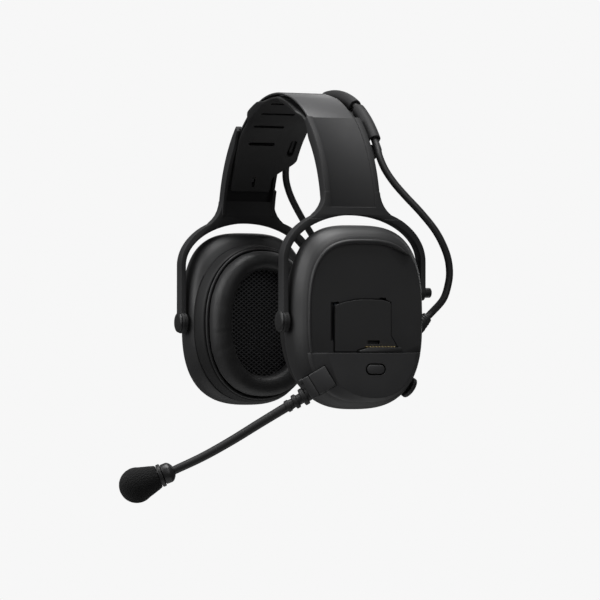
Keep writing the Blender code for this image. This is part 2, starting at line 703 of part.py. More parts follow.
def dock(room):
    """The recessed floor with its hatch window, the hatch, and the cell behind it."""
    floor = flat_plate("dock_plate", inset_opening(), 0.0018, facing_x(FLOOR_X - 0.0009))
    window_outline = [(-0.0200, PIVOT_Z - 0.0179), (0.0240, PIVOT_Z - 0.0179),
                      (0.0180, PIVOT_Z - 0.0083), (0.0180, PIVOT_Z + 0.0126),
                      (-0.0200, PIVOT_Z + 0.0126)]
    window = flat_plate("hatch_window", window_outline, 0.0060, facing_x(FLOOR_X))
    cut(floor, finish(window, BLACK, group=CUTTERS))
    switch_room = box("switch_room", (0.0060, 0.0068, 0.0058),
                      Matrix.Translation((FLOOR_X, BUTTON_Y, PIVOT_Z + BUTTON_UP)))
    cut(floor, finish(switch_room, BLACK, group=CUTTERS))
    cut(floor, room)
    finish(floor, BLACK, 0.55)
    hatch_outline = [(-0.0176, PIVOT_Z - 0.0174), (-0.0045, PIVOT_Z - 0.0174),
                     (-0.0040, PIVOT_Z - 0.0136), (0.0205, PIVOT_Z - 0.0136),
                     (0.0175, PIVOT_Z - 0.0085), (0.0175, PIVOT_Z + 0.0095),
                     (0.0165, PIVOT_Z + 0.0108), (0.0050, PIVOT_Z + 0.0122),
                     (-0.0040, PIVOT_Z + 0.0120), (-0.0120, PIVOT_Z + 0.0103),
                     (-0.0176, PIVOT_Z + 0.0080)]
    hatch = flat_plate("battery_hatch", hatch_outline, 0.0022, facing_x(FLOOR_X - 0.0001))
    slot = box("hatch_slot", (0.02, 0.0076, 0.0022),
               Matrix.Translation((FLOOR_X, 0.0064, PIVOT_Z - 0.0118)))
    cut(hatch, finish(slot, BLACK, group=CUTTERS))
    finish(hatch, BLACK, 0.55)
    cell = box("battery_cell", (0.0080, 0.0330, 0.0250),
               Matrix.Translation((0.0852, 0.0, PIVOT_Z - 0.0022)))
    modifier(cell, "BEVEL", width=0.0008, segments=2)
    finish(cell, (0.10, 0.11, 0.13), 0.5)


def contacts():
    ledge = PIVOT_Z + LEDGE_UP
    shelf = box("contact_shelf", (0.0034, 0.0268, 0.0027),
                Matrix.Translation((FLOOR_X + 0.0021, 0.0100, ledge + 0.0018)))
    finish(shelf, DARK, 0.5)
    top = ledge + 0.0018 + 0.00135 + GAP
    teeth = [(0.0056, top)]
    for index in range(4):
        start = 0.0056 + 0.0034 * index
        teeth += [(start, top + 0.0006), (start + 0.0018, top + 0.0006),
                  (start + 0.0018, top + 0.0003), (start + 0.0034, top + 0.0003)]
    teeth = teeth[:-1]
    teeth.append((0.0056 + 0.0034 * 3 + 0.0018, top))
    comb = flat_plate("contact_comb", teeth, 0.0022, facing_x(FLOOR_X + 0.0022))
    finish(comb, GOLD, 0.3, 1.0)


def socket_place():
    return along(boom_point(-0.0144, -0.0333), SOCKET_ALONG, BOOM_ACROSS)


def jack_place():
    """The jack's line runs below the middle of the block."""
    return socket_place() @ Matrix.Translation((0.0, -JACK_DROP, 0.0))


def boom_socket(shell):
    """The block that the boom plugs into, let into the shell and the pod with the plug's flange."""
    size = (0.0104, 0.0124, 2 * SOCKET_REACH)
    socket = box("boom_socket", size, socket_place())
    modifier(socket, "BEVEL", width=0.0008, segments=2)
    bore = turned("jack_bore", [(0, 0.0140), (0.0025, 0.0140), (0.0025, -0.0035), (0, -0.0035)],
                  jack_place(), 16)
    cut(socket, finish(bore, BLACK, group=CUTTERS))
    finish(socket, BLACK, 0.45)
    room = box("socket_room", (0.0114, 0.0134, 2 * SOCKET_REACH + 2 * GAP + 0.0049),
               socket_place() @ Matrix.Translation((0.0, 0.0, 0.00245)))
    finish(room, BLACK, group=CUTTERS)
    cut(shell, room)
    return room


def pod(room):
    """The control pod's cover, with the power button's hole."""
    outline = [(y, PIVOT_Z + up) for y, up in POD_OUTLINE]
    cover = flat_plate("pod_cover", outline, 0.0030, facing_x(POD_X - 0.0015))
    middle = (BUTTON_Y, PIVOT_Z + BUTTON_UP)
    hole = flat_plate("button_hole", stadium(middle, 0.0118, 0.0068), 0.03, facing_x(POD_X))
    cut(cover, finish(hole, BLACK, group=CUTTERS))
    cut(cover, room)
    finish(cover, BLACK, 0.5)
    button = flat_plate("power_button", stadium(middle, 0.0110, 0.0060), 0.0046,
                        facing_x(POD_X + 0.0005 - 0.0023))
    modifier(button, "WELD", merge_threshold=0.00001)
    modifier(button, "BEVEL", width=0.0004, segments=1)
    finish(button, BLACK, 0.45)
    board = box("circuit_board", (0.0016, 0.0360, 0.0165),
                Matrix.Translation((0.0862, 0.0045, PIVOT_Z - 0.0268)))
    finish(board, (0.02, 0.09, 0.04), 0.5)
    switch = box("button_switch", (0.0048, 0.0060, 0.0050),
                 Matrix.Translation((0.0897, middle[0], middle[1])))
    finish(switch, (0.12, 0.12, 0.12), 0.5)


def stadium(middle, length, height):
    """A pill outline with its length along the first axis."""
    radius = height / 2
    reach = length / 2 - radius
    points = arc_points((middle[0] + reach, middle[1]), (radius, radius), -90, 90, 8)
    points += arc_points((middle[0] - reach, middle[1]), (radius, radius), 90, 270, 8)
    return points


def volume_control(shell):
    place = along(KNOB_END, KNOB_AXIS)
    knob = turned("volume_knob", [(0, 0), (0.0054, 0), (0.0062, -0.0006), (0.0062, -0.0029),
                                  (0.0018, -0.0029), (0.0018, -0.0105), (0, -0.0105)], place, 28)
    finish(knob, BLACK, 0.6)
    hole = turned("knob_hole", [(0, 0.004), (0.0022, 0.004), (0.0022, -0.012), (0, -0.012)],
                  place, 16)
    cut(shell, finish(hole, BLACK, group=CUTTERS))
    encoder = turned("volume_encoder", [(0, -0.0080), (0.0036, -0.0080), (0.0036, -0.0125),
                                        (0, -0.0125)], place, 16)
    bore = turned("encoder_bore", [(0, 0.0), (0.0021, 0.0), (0.0021, -0.0110), (0, -0.0110)],
                  place, 16)
    cut(encoder, finish(bore, BLACK, group=CUTTERS))
    finish(encoder, (0.12, 0.12, 0.12), 0.5)


def recess(shell):
    """Take the rear of the rim down to the dock's floor."""
    ledge = PIVOT_Z + LEDGE_UP
    top = PIVOT_Z + 0.0360
    opened = box("rear_recess", (0.0100, 0.0400, top - ledge),
                 Matrix.Translation((FLOOR_X + 0.0050, 0.0320, (top + ledge) / 2)))
    cut(shell, finish(opened, BLACK, group=CUTTERS))


# ---------------------------------------------------------------- boom
BOOM_ROUTE = ((0.0063, -0.0488), (0.0216, -0.0581), (0.0370, -0.0676), (0.0529, -0.0765),
              (0.0690, -0.0841))      # the flexible tube's hinge points, forward and up
MIC_AXIS = Vector((-0.928 * math.cos(BOOM_SIDE), -0.928 * math.sin(BOOM_SIDE), -0.372))
MIC_AXIS.normalize()


def boom_plug():
    place = socket_place()
    front = SOCKET_REACH
    flange = box("boom_plug", (0.0108, 0.0128, 0.0044),
                 place @ Matrix.Translation((0.0, 0.0, front + GAP + 0.0022)))
    modifier(flange, "BEVEL", width=0.0008, segments=2)
    jack = turned("jack", [(0, front + 0.0020), (0.0021, front + 0.0020), (0.0021, -0.0030),
                           (0, -0.0030)], jack_place(), 16)
    cut(flange, finish(jack, BLACK, group=CUTTERS), "UNION")
    finish(flange, BLACK, 0.5)
    start = front + GAP + 0.0044 + GAP
    steps = ((0, BOOT_LENGTH), (0.0009, BOOT_LENGTH), (0.0034, 0.0147), (0.0034, 0.0126),
             (0.0028, 0.0122), (0.0028, 0.0100), (0.0041, 0.0098), (0.0041, 0.0074),
             (0.0032, 0.0070), (0.0032, 0.0050), (0.0050, 0.0046), (0.0050, 0.0020),
             (0.0040, 0.0016), (0.0040, 0.0), (0, 0.0))
    profile = [(radius, start + height) for radius, height in steps]
    boot = turned("boom_boot", profile, jack_place(), 16)
    finish(boot, DARK, 0.65)


def boom_tube():
    """Four lengths of flexible tube with blunt conical ends, each hinged to the one before."""
    points = [boom_point(forward, up) for forward, up in BOOM_ROUTE]
    for index, (first, second) in enumerate(zip(points, points[1:])):
        length = (second - first).length - GAP
        reach = BOOM_R - 0.00015 * index
        tip, cone = 0.0009, 0.0006
        profile = [(0, length), (tip, length), (reach, length - cone), (reach, cone), (tip, 0),
                   (0, 0)]
        start = first + (second - first).normalized() * GAP / 2
        item = turned(f"boom_tube_{index + 1}", profile, along(start, second - first), 16)
        finish(item, SOFT, 0.6)


def microphone():
    start = boom_point(*BOOM_ROUTE[-1]) + MIC_AXIS * GAP / 2
    place = along(start, MIC_AXIS)
    housing = turned("mic_housing", [(0, 0.0113), (0.0044, 0.0113), (0.0044, 0.0070),
                                     (0.0058, 0.0068), (0.0058, 0.0034), (0.0048, 0.0020),
                                     (0.0032, 0.0007), (0.0009, 0.0), (0, 0.0)], place, 18)
    ring = turned("mic_clamp_ring", [(0.0047, 0.0092), (0.0066, 0.0092), (0.0066, 0.0071),
                                     (0.0047, 0.0071), (0.0047, 0.0092)], place, 20)
    capsule = turned("mic_capsule", [(0, 0.0163), (0.0040, 0.0163), (0.0042, 0.0160),
                                     (0.0042, 0.0116), (0, 0.0116)], place, 16)
    screen = turned("foam_windscreen", windscreen_profile(), place, 20)
    finish(housing, BLACK, 0.5)
    finish(ring, BLACK, 0.4)
    finish(capsule, STEEL, 0.4, 0.6)
    finish(screen, SOFT, 0.95)


def windscreen_profile():
    """A round bulb that tapers straight to its base, and a blind bore for the capsule."""
    base, bulb, radius = 0.0095, 0.0228, 0.0100
    outer = []
    for turn in range(0, 109, 18):
        angle = math.radians(turn)
        outer.append((radius * math.sin(angle), bulb + radius * math.cos(angle)))
    outer += [(0.0067, base + 0.0008), (0.0062, base)]
    bore = [(0.0047, base), (0.0047, 0.0168), (0, 0.0168)]
    return outer + bore


# ---------------------------------------------------------------- assembly
headband()
cable()
arm()
pivots()
left_shell = cups()
recess(left_shell)
socket_room = boom_socket(left_shell)
volume_control(left_shell)
finish(left_shell, BLACK, 0.5)
dock(socket_room)
contacts()
pod(socket_room)
boom_plug()
boom_tube()
microphone()
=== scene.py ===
"""Looks for the headset microphone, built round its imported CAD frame."""
import json
import math

import bmesh
import bpy
from mathutils import Matrix, Vector, noise


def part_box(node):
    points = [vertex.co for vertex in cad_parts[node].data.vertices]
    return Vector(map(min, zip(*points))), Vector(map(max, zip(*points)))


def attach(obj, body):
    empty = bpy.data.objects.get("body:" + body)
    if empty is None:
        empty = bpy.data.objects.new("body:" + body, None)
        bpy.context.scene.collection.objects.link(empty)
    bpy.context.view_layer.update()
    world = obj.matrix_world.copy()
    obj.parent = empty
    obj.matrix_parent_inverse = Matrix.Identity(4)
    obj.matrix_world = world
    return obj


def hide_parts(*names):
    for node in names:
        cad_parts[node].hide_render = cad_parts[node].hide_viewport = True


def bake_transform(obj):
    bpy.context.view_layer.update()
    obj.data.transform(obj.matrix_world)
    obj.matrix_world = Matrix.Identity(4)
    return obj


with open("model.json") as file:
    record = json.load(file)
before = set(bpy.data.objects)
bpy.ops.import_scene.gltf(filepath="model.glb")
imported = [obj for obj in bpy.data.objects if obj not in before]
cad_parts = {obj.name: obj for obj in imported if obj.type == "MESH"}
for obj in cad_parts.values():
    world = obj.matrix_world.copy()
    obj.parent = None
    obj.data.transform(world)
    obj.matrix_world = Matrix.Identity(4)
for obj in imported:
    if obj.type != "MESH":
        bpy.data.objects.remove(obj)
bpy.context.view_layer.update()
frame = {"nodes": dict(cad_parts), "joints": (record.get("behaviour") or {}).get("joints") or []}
JOINT = {joint["name"]: joint for joint in frame["joints"]}
MM = 0.001
MIRROR = Matrix.Scale(-1.0, 4, (1.0, 0.0, 0.0))
ARC_Z = JOINT["left_height"]["pos_m"][2]  # height of the centre of the band's arc
PIVOT_Z = Vector(JOINT["left_cup_tilt"]["pos_m"]).z
LIFT = JOINT["boom_lift_1"]["axis"]  # across the boom's plane

# Lengths from here on are in millimetres, and heights are over the cup pivots.
REAR_UP = 16.6  # the rear pivots
ARM_X = 76.2  # middle of the fork legs
CUP_Y = 0.9  # middle of the cups, front to back
LEDGE = -17.9  # top of the control pod
CABLE_ARC, CABLE_Y, CABLE_SIZE = 76.7, 22.5, 2.1  # the crown run's arc, place and radius


# ---- materials
def feed(tree, socket, value):
    """Set an input to a value, or link another node's output to it."""
    if isinstance(value, bpy.types.NodeSocket):
        tree.links.new(value, socket)
    else:
        socket.default_value = value


def node(tree, kind, *values, **settings):
    """Add a shader node: values go to its first inputs, settings to properties and inputs."""
    made = tree.nodes.new(kind)
    for key, value in settings.items():
        if hasattr(made, key):
            setattr(made, key, value)
        else:
            feed(tree, made.inputs[key.replace("_", " ")], value)
    for socket, value in zip(made.inputs, values):
        feed(tree, socket, value)
    return made


def blank_material(name):
    """A new material and its node tree."""
    made = bpy.data.materials.new(name)
    made.use_nodes = True
    return made, made.node_tree


def shade(tree, **settings):
    """Set or link the inputs of a material's shader."""
    for key, value in settings.items():
        feed(tree, tree.nodes["Principled BSDF"].inputs[key.replace("_", " ")], value)


def mixed(tree, factor, first, second):
    """A mix of two colours, each a triple or another node's output."""
    tone = node(tree, "ShaderNodeMix", factor, data_type="RGBA")
    for socket, colour in ((tone.inputs[6], first), (tone.inputs[7], second)):
        feed(tree, socket, (*colour, 1.0) if isinstance(colour, tuple) else colour)
    return tone.outputs[2]


WORN_AND_HIGHLIT = (0.12, 0.12, 0.123)  # the paler tone of edges: rubbed wear, and a painted highlight along them


def surface(name, dark, light, rough, grain=900.0, bump=0.12, depth=0.00012, spread=0.10,
            patch=45.0, wear=0.10, metallic=0.0, bevel=0.0006, sheen=0.0, voronoi=False,
            specular=0.5):
    """A moulded, rubber or fabric surface: tone patches, grain, uneven gloss and paler edges that
    are part wear, part painted highlight.
    """
    made, tree = blank_material(name)
    place = node(tree, "ShaderNodeTexCoord").outputs["Object"]
    patches = node(tree, "ShaderNodeTexNoise", Vector=place, Scale=patch, Detail=5.0,
                   Roughness=0.6).outputs["Fac"]
    if voronoi:
        fine = node(tree, "ShaderNodeTexVoronoi", Vector=place, Scale=grain).outputs["Distance"]
    else:
        fine = node(tree, "ShaderNodeTexNoise", Vector=place, Scale=grain, Detail=3.0,
                    Roughness=0.7).outputs["Fac"]
    colour = mixed(tree, patches, dark, light)
    rounded = node(tree, "ShaderNodeBevel", Radius=bevel, samples=6).outputs["Normal"]
    # The wear setting pales rounded edges: part rubbed wear, part painted highlight along the
    # edges.
    if wear > 0:
        flat = node(tree, "ShaderNodeNewGeometry").outputs["Normal"]
        facing = node(tree, "ShaderNodeVectorMath", rounded, flat, operation="DOT_PRODUCT")
        edge = node(tree, "ShaderNodeMapRange", facing.outputs["Value"], From_Min=0.99,
                    From_Max=0.80, To_Min=0.0, To_Max=wear)
        colour = mixed(tree, edge.outputs["Result"], colour, WORN_AND_HIGHLIT)
    gloss = node(tree, "ShaderNodeMapRange", patches, From_Min=0.3, From_Max=0.7,
                 To_Min=rough - spread / 2, To_Max=rough + spread / 2)
    relief = node(tree, "ShaderNodeBump", Height=fine, Normal=rounded, Strength=bump,
                  Distance=depth)
    shade(tree, Base_Color=colour, Metallic=metallic, Roughness=gloss.outputs["Result"],
          Normal=relief.outputs["Normal"], Specular_IOR_Level=specular, Sheen_Weight=sheen,
          Sheen_Roughness=0.4)
    return made


def grey(value):
    """A grey that is slightly cool."""
    return (value, value, value * 1.04)


SHELL = surface("moulded_black", grey(0.014), grey(0.020), 0.50, grain=1500, bump=0.20,
                depth=0.00006)
SATIN = surface("satin_black", grey(0.011), grey(0.016), 0.38, grain=1800, bump=0.12,
                depth=0.00005)
ARM = surface("arm_black", grey(0.017), grey(0.023), 0.62, grain=1400, bump=0.18, depth=0.00006,
              specular=0.30)
# A lighter copy of the arm's black for the band cover: painted highlight where the top lamp falls
# on the crown.
BAND_PAINTED_LIGHTER = surface("band_black_painted_lighter", grey(0.032), grey(0.042), 0.46, grain=1400, bump=0.18,
                depth=0.00006, specular=0.6)
POD = surface("pod_black", grey(0.024), grey(0.031), 0.50, grain=1500, bump=0.20, depth=0.00006)
PANEL = surface("panel_black", grey(0.014), grey(0.019), 0.64, grain=1700, bump=0.30,
                depth=0.00008, wear=0.05)
STRAP = surface("strap_rubber", grey(0.008), grey(0.012), 0.62, grain=1100, bump=0.25,
                depth=0.00008, wear=0.06)
RUBBER = surface("flex_rubber", grey(0.008), grey(0.013), 0.50, grain=1300, bump=0.30,
                 depth=0.00008, wear=0.08)
DARKER = surface("bush_rubber", grey(0.006), grey(0.009), 0.60, grain=1200, bump=0.25,
                 wear=0.03)
RING = surface("ring_black", grey(0.007), grey(0.011), 0.60, grain=1500, bump=0.20,
               depth=0.00006, wear=0.05, specular=0.35)
LEATHER = surface("leatherette", grey(0.010), grey(0.015), 0.52, grain=950, bump=0.35,
                  depth=0.00016, spread=0.14, wear=0.0, voronoi=True, bevel=0.0003, sheen=0.05)
FOAM = surface("open_foam", grey(0.005), grey(0.010), 0.95, grain=1250, bump=0.9, depth=0.0006,
               wear=0.0, voronoi=True, patch=600, sheen=0.05, bevel=0.0002, specular=0.25)
STEEL = surface("plain_steel", grey(0.45), grey(0.55), 0.35, grain=900, metallic=1.0, wear=0.0)
GOLD = surface("gold_plate", (0.36, 0.28, 0.14), (0.46, 0.36, 0.18), 0.48, grain=900,
               metallic=1.0, wear=0.0)
BOARD = surface("solder_mask", (0.012, 0.06, 0.03), (0.02, 0.09, 0.04), 0.4, grain=500)
CELL = surface("cell_wrap", (0.05, 0.06, 0.08), (0.07, 0.08, 0.10), 0.35, grain=500)
NET_LEAN, NET_COUNT = 1.35, 300.0  # strands' slope, strands to the metre


def net_material():
    """A woven net: two slanting sets of strands with dark holes between them."""
    made, tree = blank_material("diamond_net")

    def maths(operation, *values):
        """One step of arithmetic on numbers or other nodes' outputs."""
        return node(tree, "ShaderNodeMath", *values, operation=operation).outputs[0]
    place = node(tree, "ShaderNodeTexCoord").outputs["Object"]
    split = node(tree, "ShaderNodeSeparateXYZ", place)
    strands = []
    for sign in (1.0, -1.0):
        lean = maths("MULTIPLY", split.outputs["Z"], NET_LEAN * sign)
        count = maths("MULTIPLY", maths("ADD", split.outputs["Y"], lean), NET_COUNT)
        strands.append(maths("PINGPONG", count, 0.5))
    near = maths("MINIMUM", *strands)
    hole = node(tree, "ShaderNodeMapRange", near, From_Min=0.10, From_Max=0.20)
    relief = node(tree, "ShaderNodeBump", Height=near, invert=True, Strength=0.8,
                  Distance=0.0006)
    shade(tree, Base_Color=mixed(tree, hole.outputs["Result"], grey(0.085), grey(0.0015)),
          Roughness=0.6, Specular_IOR_Level=0.10, Normal=relief.outputs["Normal"])
    return made


NET = net_material()


# ---- mesh helpers
def added(name, data):
    """A new object in the scene."""
    made = bpy.data.objects.new(name, data)
    bpy.context.scene.collection.objects.link(made)
    return made


def mesh_object(name, bm, smooth=35.0):
    """Turn a bmesh into an object; edges sharper than smooth degrees are shaded sharp."""
    bmesh.ops.remove_doubles(bm, verts=bm.verts, dist=1e-6)
    bmesh.ops.recalc_face_normals(bm, faces=bm.faces)
    mesh = bpy.data.meshes.new(name)
    bm.to_mesh(mesh)
    bm.free()
    made = added(name, mesh)
    mesh.shade_smooth()
    mesh.set_sharp_from_angle(angle=math.radians(smooth))
    return made


def p(x, y, up):
    """A point from millimetres, with its height measured from the cup pivots."""
    return Vector((x * MM, y * MM, PIVOT_Z + up * MM))


def skin(name, rings, loop=False, smooth=35.0):
    """Join rings of points with quads; the ends are capped, or joined when loop is true."""
    bm = bmesh.new()
    loops = [[bm.verts.new(point) for point in ring] for ring in rings]
    pairs = list(zip(loops, loops[1:]))
    if loop:
        pairs.append((loops[-1], loops[0]))
    for first, second in pairs:
        for i in range(len(first)):
            j = (i + 1) % len(first)
            bm.faces.new((first[i], first[j], second[j], second[i]))
    if not loop:
        bm.faces.new(loops[0])
        bm.faces.new(loops[-1])
    return mesh_object(name, bm, smooth)


def frame_at(origin, axis, side=(1.0, 0.0, 0.0)):
    """A place at origin (metres) with Z along the axis and X as near side as it can be."""
    up = Vector(axis).normalized()
    across = Vector(side) - up * Vector(side).dot(up)
    across.normalize()
    return Matrix.Translation(Vector(origin)) @ Matrix(
        (across, up.cross(across), up)).transposed().to_4x4()


def lathe(name, profile, place, steps=64, smooth=35.0):
    """Turn (radius, height) points in millimetres about the place's Z axis."""
    rings = []
    for radius, height in profile:
        size = max(radius, 0.0005) * MM  # points on the axis stay apart
        ring = []
        for i in range(steps):
            turn = 2 * math.pi * i / steps
            ring.append(place @ Vector((size * math.cos(turn), size * math.sin(turn),
                                        height * MM)))
        rings.append(ring)
    return skin(name, rings, smooth=smooth)


def ball_end(radius, height, rounding, steps=4):
    """Profile points that round off the upper edge of a turned piece."""
    points = []
    for i in range(steps + 1):
        turn = math.pi / 2 * i / steps
        points.append((radius - rounding + rounding * math.sin(turn),
                       height + (rounding * math.cos(turn) - rounding)))
    return points


def plate(name, outline, low_x, high_x, bevel=0.4):
    """A flat (y, up) outline in millimetres, between two x values, with rounded edges."""
    bm = bmesh.new()
    face = bm.faces.new([bm.verts.new(p(low_x, y, up)) for y, up in outline])
    moved = bmesh.ops.extrude_face_region(bm, geom=[face])["geom"]
    corners = [item for item in moved if isinstance(item, bmesh.types.BMVert)]
    bmesh.ops.translate(bm, verts=corners, vec=((high_x - low_x) * MM, 0.0, 0.0))
    made = mesh_object(name, bm)
    if bevel:
        rounded(made, bevel)
    return made


def rounded(piece, width, segments=3, angle=35.0):
    """Bevel the sharp edges and keep the result."""
    bevel = piece.modifiers.new("Bevel", "BEVEL")
    bevel.width = width * MM
    bevel.segments = segments
    bevel.limit_method = "ANGLE"
    bevel.angle_limit = math.radians(angle)
    bevel.use_clamp_overlap = True
    return applied(piece)


def applied(piece):
    """Turn the piece's modifiers and its place into mesh."""
    bpy.context.view_layer.update()
    view = bpy.context.evaluated_depsgraph_get()
    mesh = bpy.data.meshes.new_from_object(piece.evaluated_get(view))
    mesh.transform(piece.matrix_world)
    piece.modifiers.clear()
    piece.data = mesh
    piece.matrix_world = Matrix.Identity(4)
    mesh.shade_smooth()
    mesh.set_sharp_from_angle(angle=math.radians(35))
    return piece


def carve(piece, *cutters, operation="DIFFERENCE"):
    """Cut or join pieces, keep the result and drop the cutters."""
    for cutter in cutters:
        made = piece.modifiers.new("Cut", "BOOLEAN")
        made.object = cutter
        made.operation = operation
        made.solver = "EXACT"
        applied(piece)
        bpy.data.objects.remove(cutter, do_unlink=True)
    return piece


def flat_shaded(piece):
    """Weight the normals by area, so that large flat faces stay flat beside rounded edges."""
    weighted = piece.modifiers.new("Weighted", "WEIGHTED_NORMAL")
    weighted.keep_sharp = True
    weighted.weight = 90
    return applied(piece)


def block(name, size, place, bevel=0.0, segments=3):
    """A box of a size in millimetres, with rounded edges when bevel is given."""
    bm = bmesh.new()
    bmesh.ops.create_cube(bm, size=1.0)
    bmesh.ops.scale(bm, vec=Vector(size) * MM, verts=bm.verts)
    bmesh.ops.transform(bm, matrix=place, verts=bm.verts)
    made = mesh_object(name, bm)
    return rounded(made, bevel, segments) if bevel else made


def between(a, b, c, d, t):
    """The point t of the way from b to c on a smooth curve through a, b, c and d."""
    return 0.5 * (2 * b + (c - a) * t + (2 * a - 5 * b + 4 * c - d) * t * t
                  + (3 * b - a - 3 * c + d) * t ** 3)


def distances(points):
    """How far along the line through the points each of them lies."""
    reach = [0.0]
    for a, b in zip(points, points[1:]):
        reach.append(reach[-1] + (b - a).length)
    return reach


def evenly(reach, count):
    """Evenly spaced places along the distances, each as a step's number and a share of it."""
    i = 0
    for k in range(count + 1):
        goal = reach[-1] * k / count
        while i < len(reach) - 2 and reach[i + 1] < goal:
            i += 1
        yield i, (goal - reach[i]) / max(reach[i + 1] - reach[i], 1e-12)


def curve_through(points, count, steps=24):
    """Evenly spaced points on a smooth curve through the given ones."""
    ends = [points[0] * 2 - points[1], *points, points[-1] * 2 - points[-2]]
    fine = [between(a, b, c, d, step / steps)
            for a, b, c, d in zip(ends, ends[1:], ends[2:], ends[3:]) for step in range(steps)]
    fine.append(points[-1])
    return [fine[i].lerp(fine[i + 1], min(max(t, 0.0), 1.0))
            for i, t in evenly(distances(fine), count)]


def circle(middle, side, other, radius, sides):
    """Points on a circle that starts at side and turns towards other."""
    return [middle + (side * math.cos(2 * math.pi * k / sides)
                      + other * math.sin(2 * math.pi * k / sides)) * radius * MM
            for k in range(sides)]


def sweep(name, path, radius, sides=20):
    """A round tube along a path; radius is one size or one for each point, in millimetres."""
    sizes = radius if isinstance(radius, list) else [radius] * len(path)
    ahead = (path[1] - path[0]).normalized()
    side = ahead.orthogonal().normalized()
    rings = []
    for i, point in enumerate(path):
        run = (path[min(i + 1, len(path) - 1)] - path[max(i - 1, 0)]).normalized()
        side = (side - run * side.dot(run)).normalized()
        rings.append(circle(point, side, run.cross(side), sizes[i], sides))
    return skin(name, rings)


def on_arc(radius, degrees, across):
    """A point on the band's arc: radius and across in millimetres, degrees from the crown."""
    turn = math.radians(degrees)
    return Vector((radius * MM * math.sin(turn), across * MM,
                   ARC_Z + radius * MM * math.cos(turn)))


def arc_solid(name, profile, start, end, steps):
    """Sweep a (radius, across) outline round the arc; the outline may be a function of degrees."""
    rings = []
    for i in range(steps + 1):
        degrees = start + (end - start) * i / steps
        outline = profile(degrees) if callable(profile) else profile
        rings.append([on_arc(radius, degrees, across) for radius, across in outline])
    return skin(name, rings)


def blend01(value, start, end):
    """A smooth step from 0 at start to 1 at end."""
    t = min(max((value - start) / (end - start), 0.0), 1.0)
    return t * t * (3 - 2 * t)


def oval(half, up, down, square_up, square_down, count):
    """A superellipse (y, up) outline in millimetres, spaced evenly in angle."""
    points = []
    for i in range(count):
        turn = 2 * math.pi * i / count
        side, rise = math.cos(turn), math.sin(turn)
        power = square_up if rise >= 0 else square_down
        height = up if rise >= 0 else down
        reach = (abs(side / half) ** power + abs(rise / height) ** power) ** (-1 / power)
        points.append((CUP_Y + side * reach, rise * reach))
    return points


def ellipse(middle, half, rise, angles):
    """Points on an ellipse at the given angles in degrees; a negative half turns it over."""
    return [(middle[0] + half * math.cos(math.radians(a)),
             middle[1] + rise * math.sin(math.radians(a))) for a in angles]


def mirrored(mesh):
    """Turn a left mesh into a right one."""
    mesh.transform(MIRROR)
    mesh.flip_normals()


def copy_right(piece, name):
    """A mirrored copy for the wearer's right."""
    mesh = piece.data.copy()
    mesh.name = name
    mirrored(mesh)
    return added(name, mesh)


def wear(piece, body, material, slot, *nodes):
    """Give a piece its material, the body it rides on and the nodes that it stands for."""
    piece.data.materials.clear()
    piece.data.materials.append(material)
    if nodes:
        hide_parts(*nodes)
    if body:
        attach(piece, body)
    return piece


def both(piece, body, material, slot, *nodes):
    """The left piece and its mirrored copy; names with left are turned to right."""
    other = copy_right(piece, piece.name.replace("left", "right"))
    wear(piece, body, material, slot, *nodes)
    wear(other, body.replace("left", "right"), material, slot,
         *[name.replace("left", "right") for name in nodes])
    return piece, other


# ---- headband
def make_headband():
    """The outer cover and the comfort strap."""
    def cover(degrees):
        """The cover's outline, with a sunk strip beside the crown."""
        top = 78.0
        if 8 < degrees < 18:
            top -= 0.35 * blend01(degrees, 8, 9) * (1 - blend01(degrees, 17, 18))
        return [(76.8, -14.4), (77.3, -14.6), (top - 0.5, -14.6), (top - 0.1, -14.3),
                (top, -13.8), (top, 13.8), (top - 0.1, 14.3), (top - 0.5, 14.6), (77.3, 14.6),
                (76.8, 14.4)]
    band = arc_solid("headband_cover", cover, -70, 70, 280)
    # The band cover wears the lighter black that paints the crown's highlight.
    wear(band, "headband", BAND_PAINTED_LIGHTER, "black_plastic", "band_cover")
    strap = strap_piece()
    wear(strap, "headband", STRAP, "strap_rubber", "comfort_strap")


def strap_radius(degrees, across):
    """The strap's outer side: dips beside the crown, a raised front edge, a lower rear wing."""
    turn = abs(degrees)
    dip = 1.9 * blend01(turn, 3, 18) * (1 - blend01(turn, 24, 38))
    body = 75.5 - dip - 0.6 * blend01(turn, 24, 38)
    wing = min(body, 74.3)
    body += (76.4 - body) * blend01(-across, 16.0, 19.0)
    return body + (wing - body) * blend01(across, 12.5, 17.0)


STRAP_THICK = 1.7
STRAP_SLOTS = ((9.5, -1.0, 21.0), (21.3, -0.5, 22.0), (34.2, 0.0, 20.0), (46.3, 0.3, 17.0))


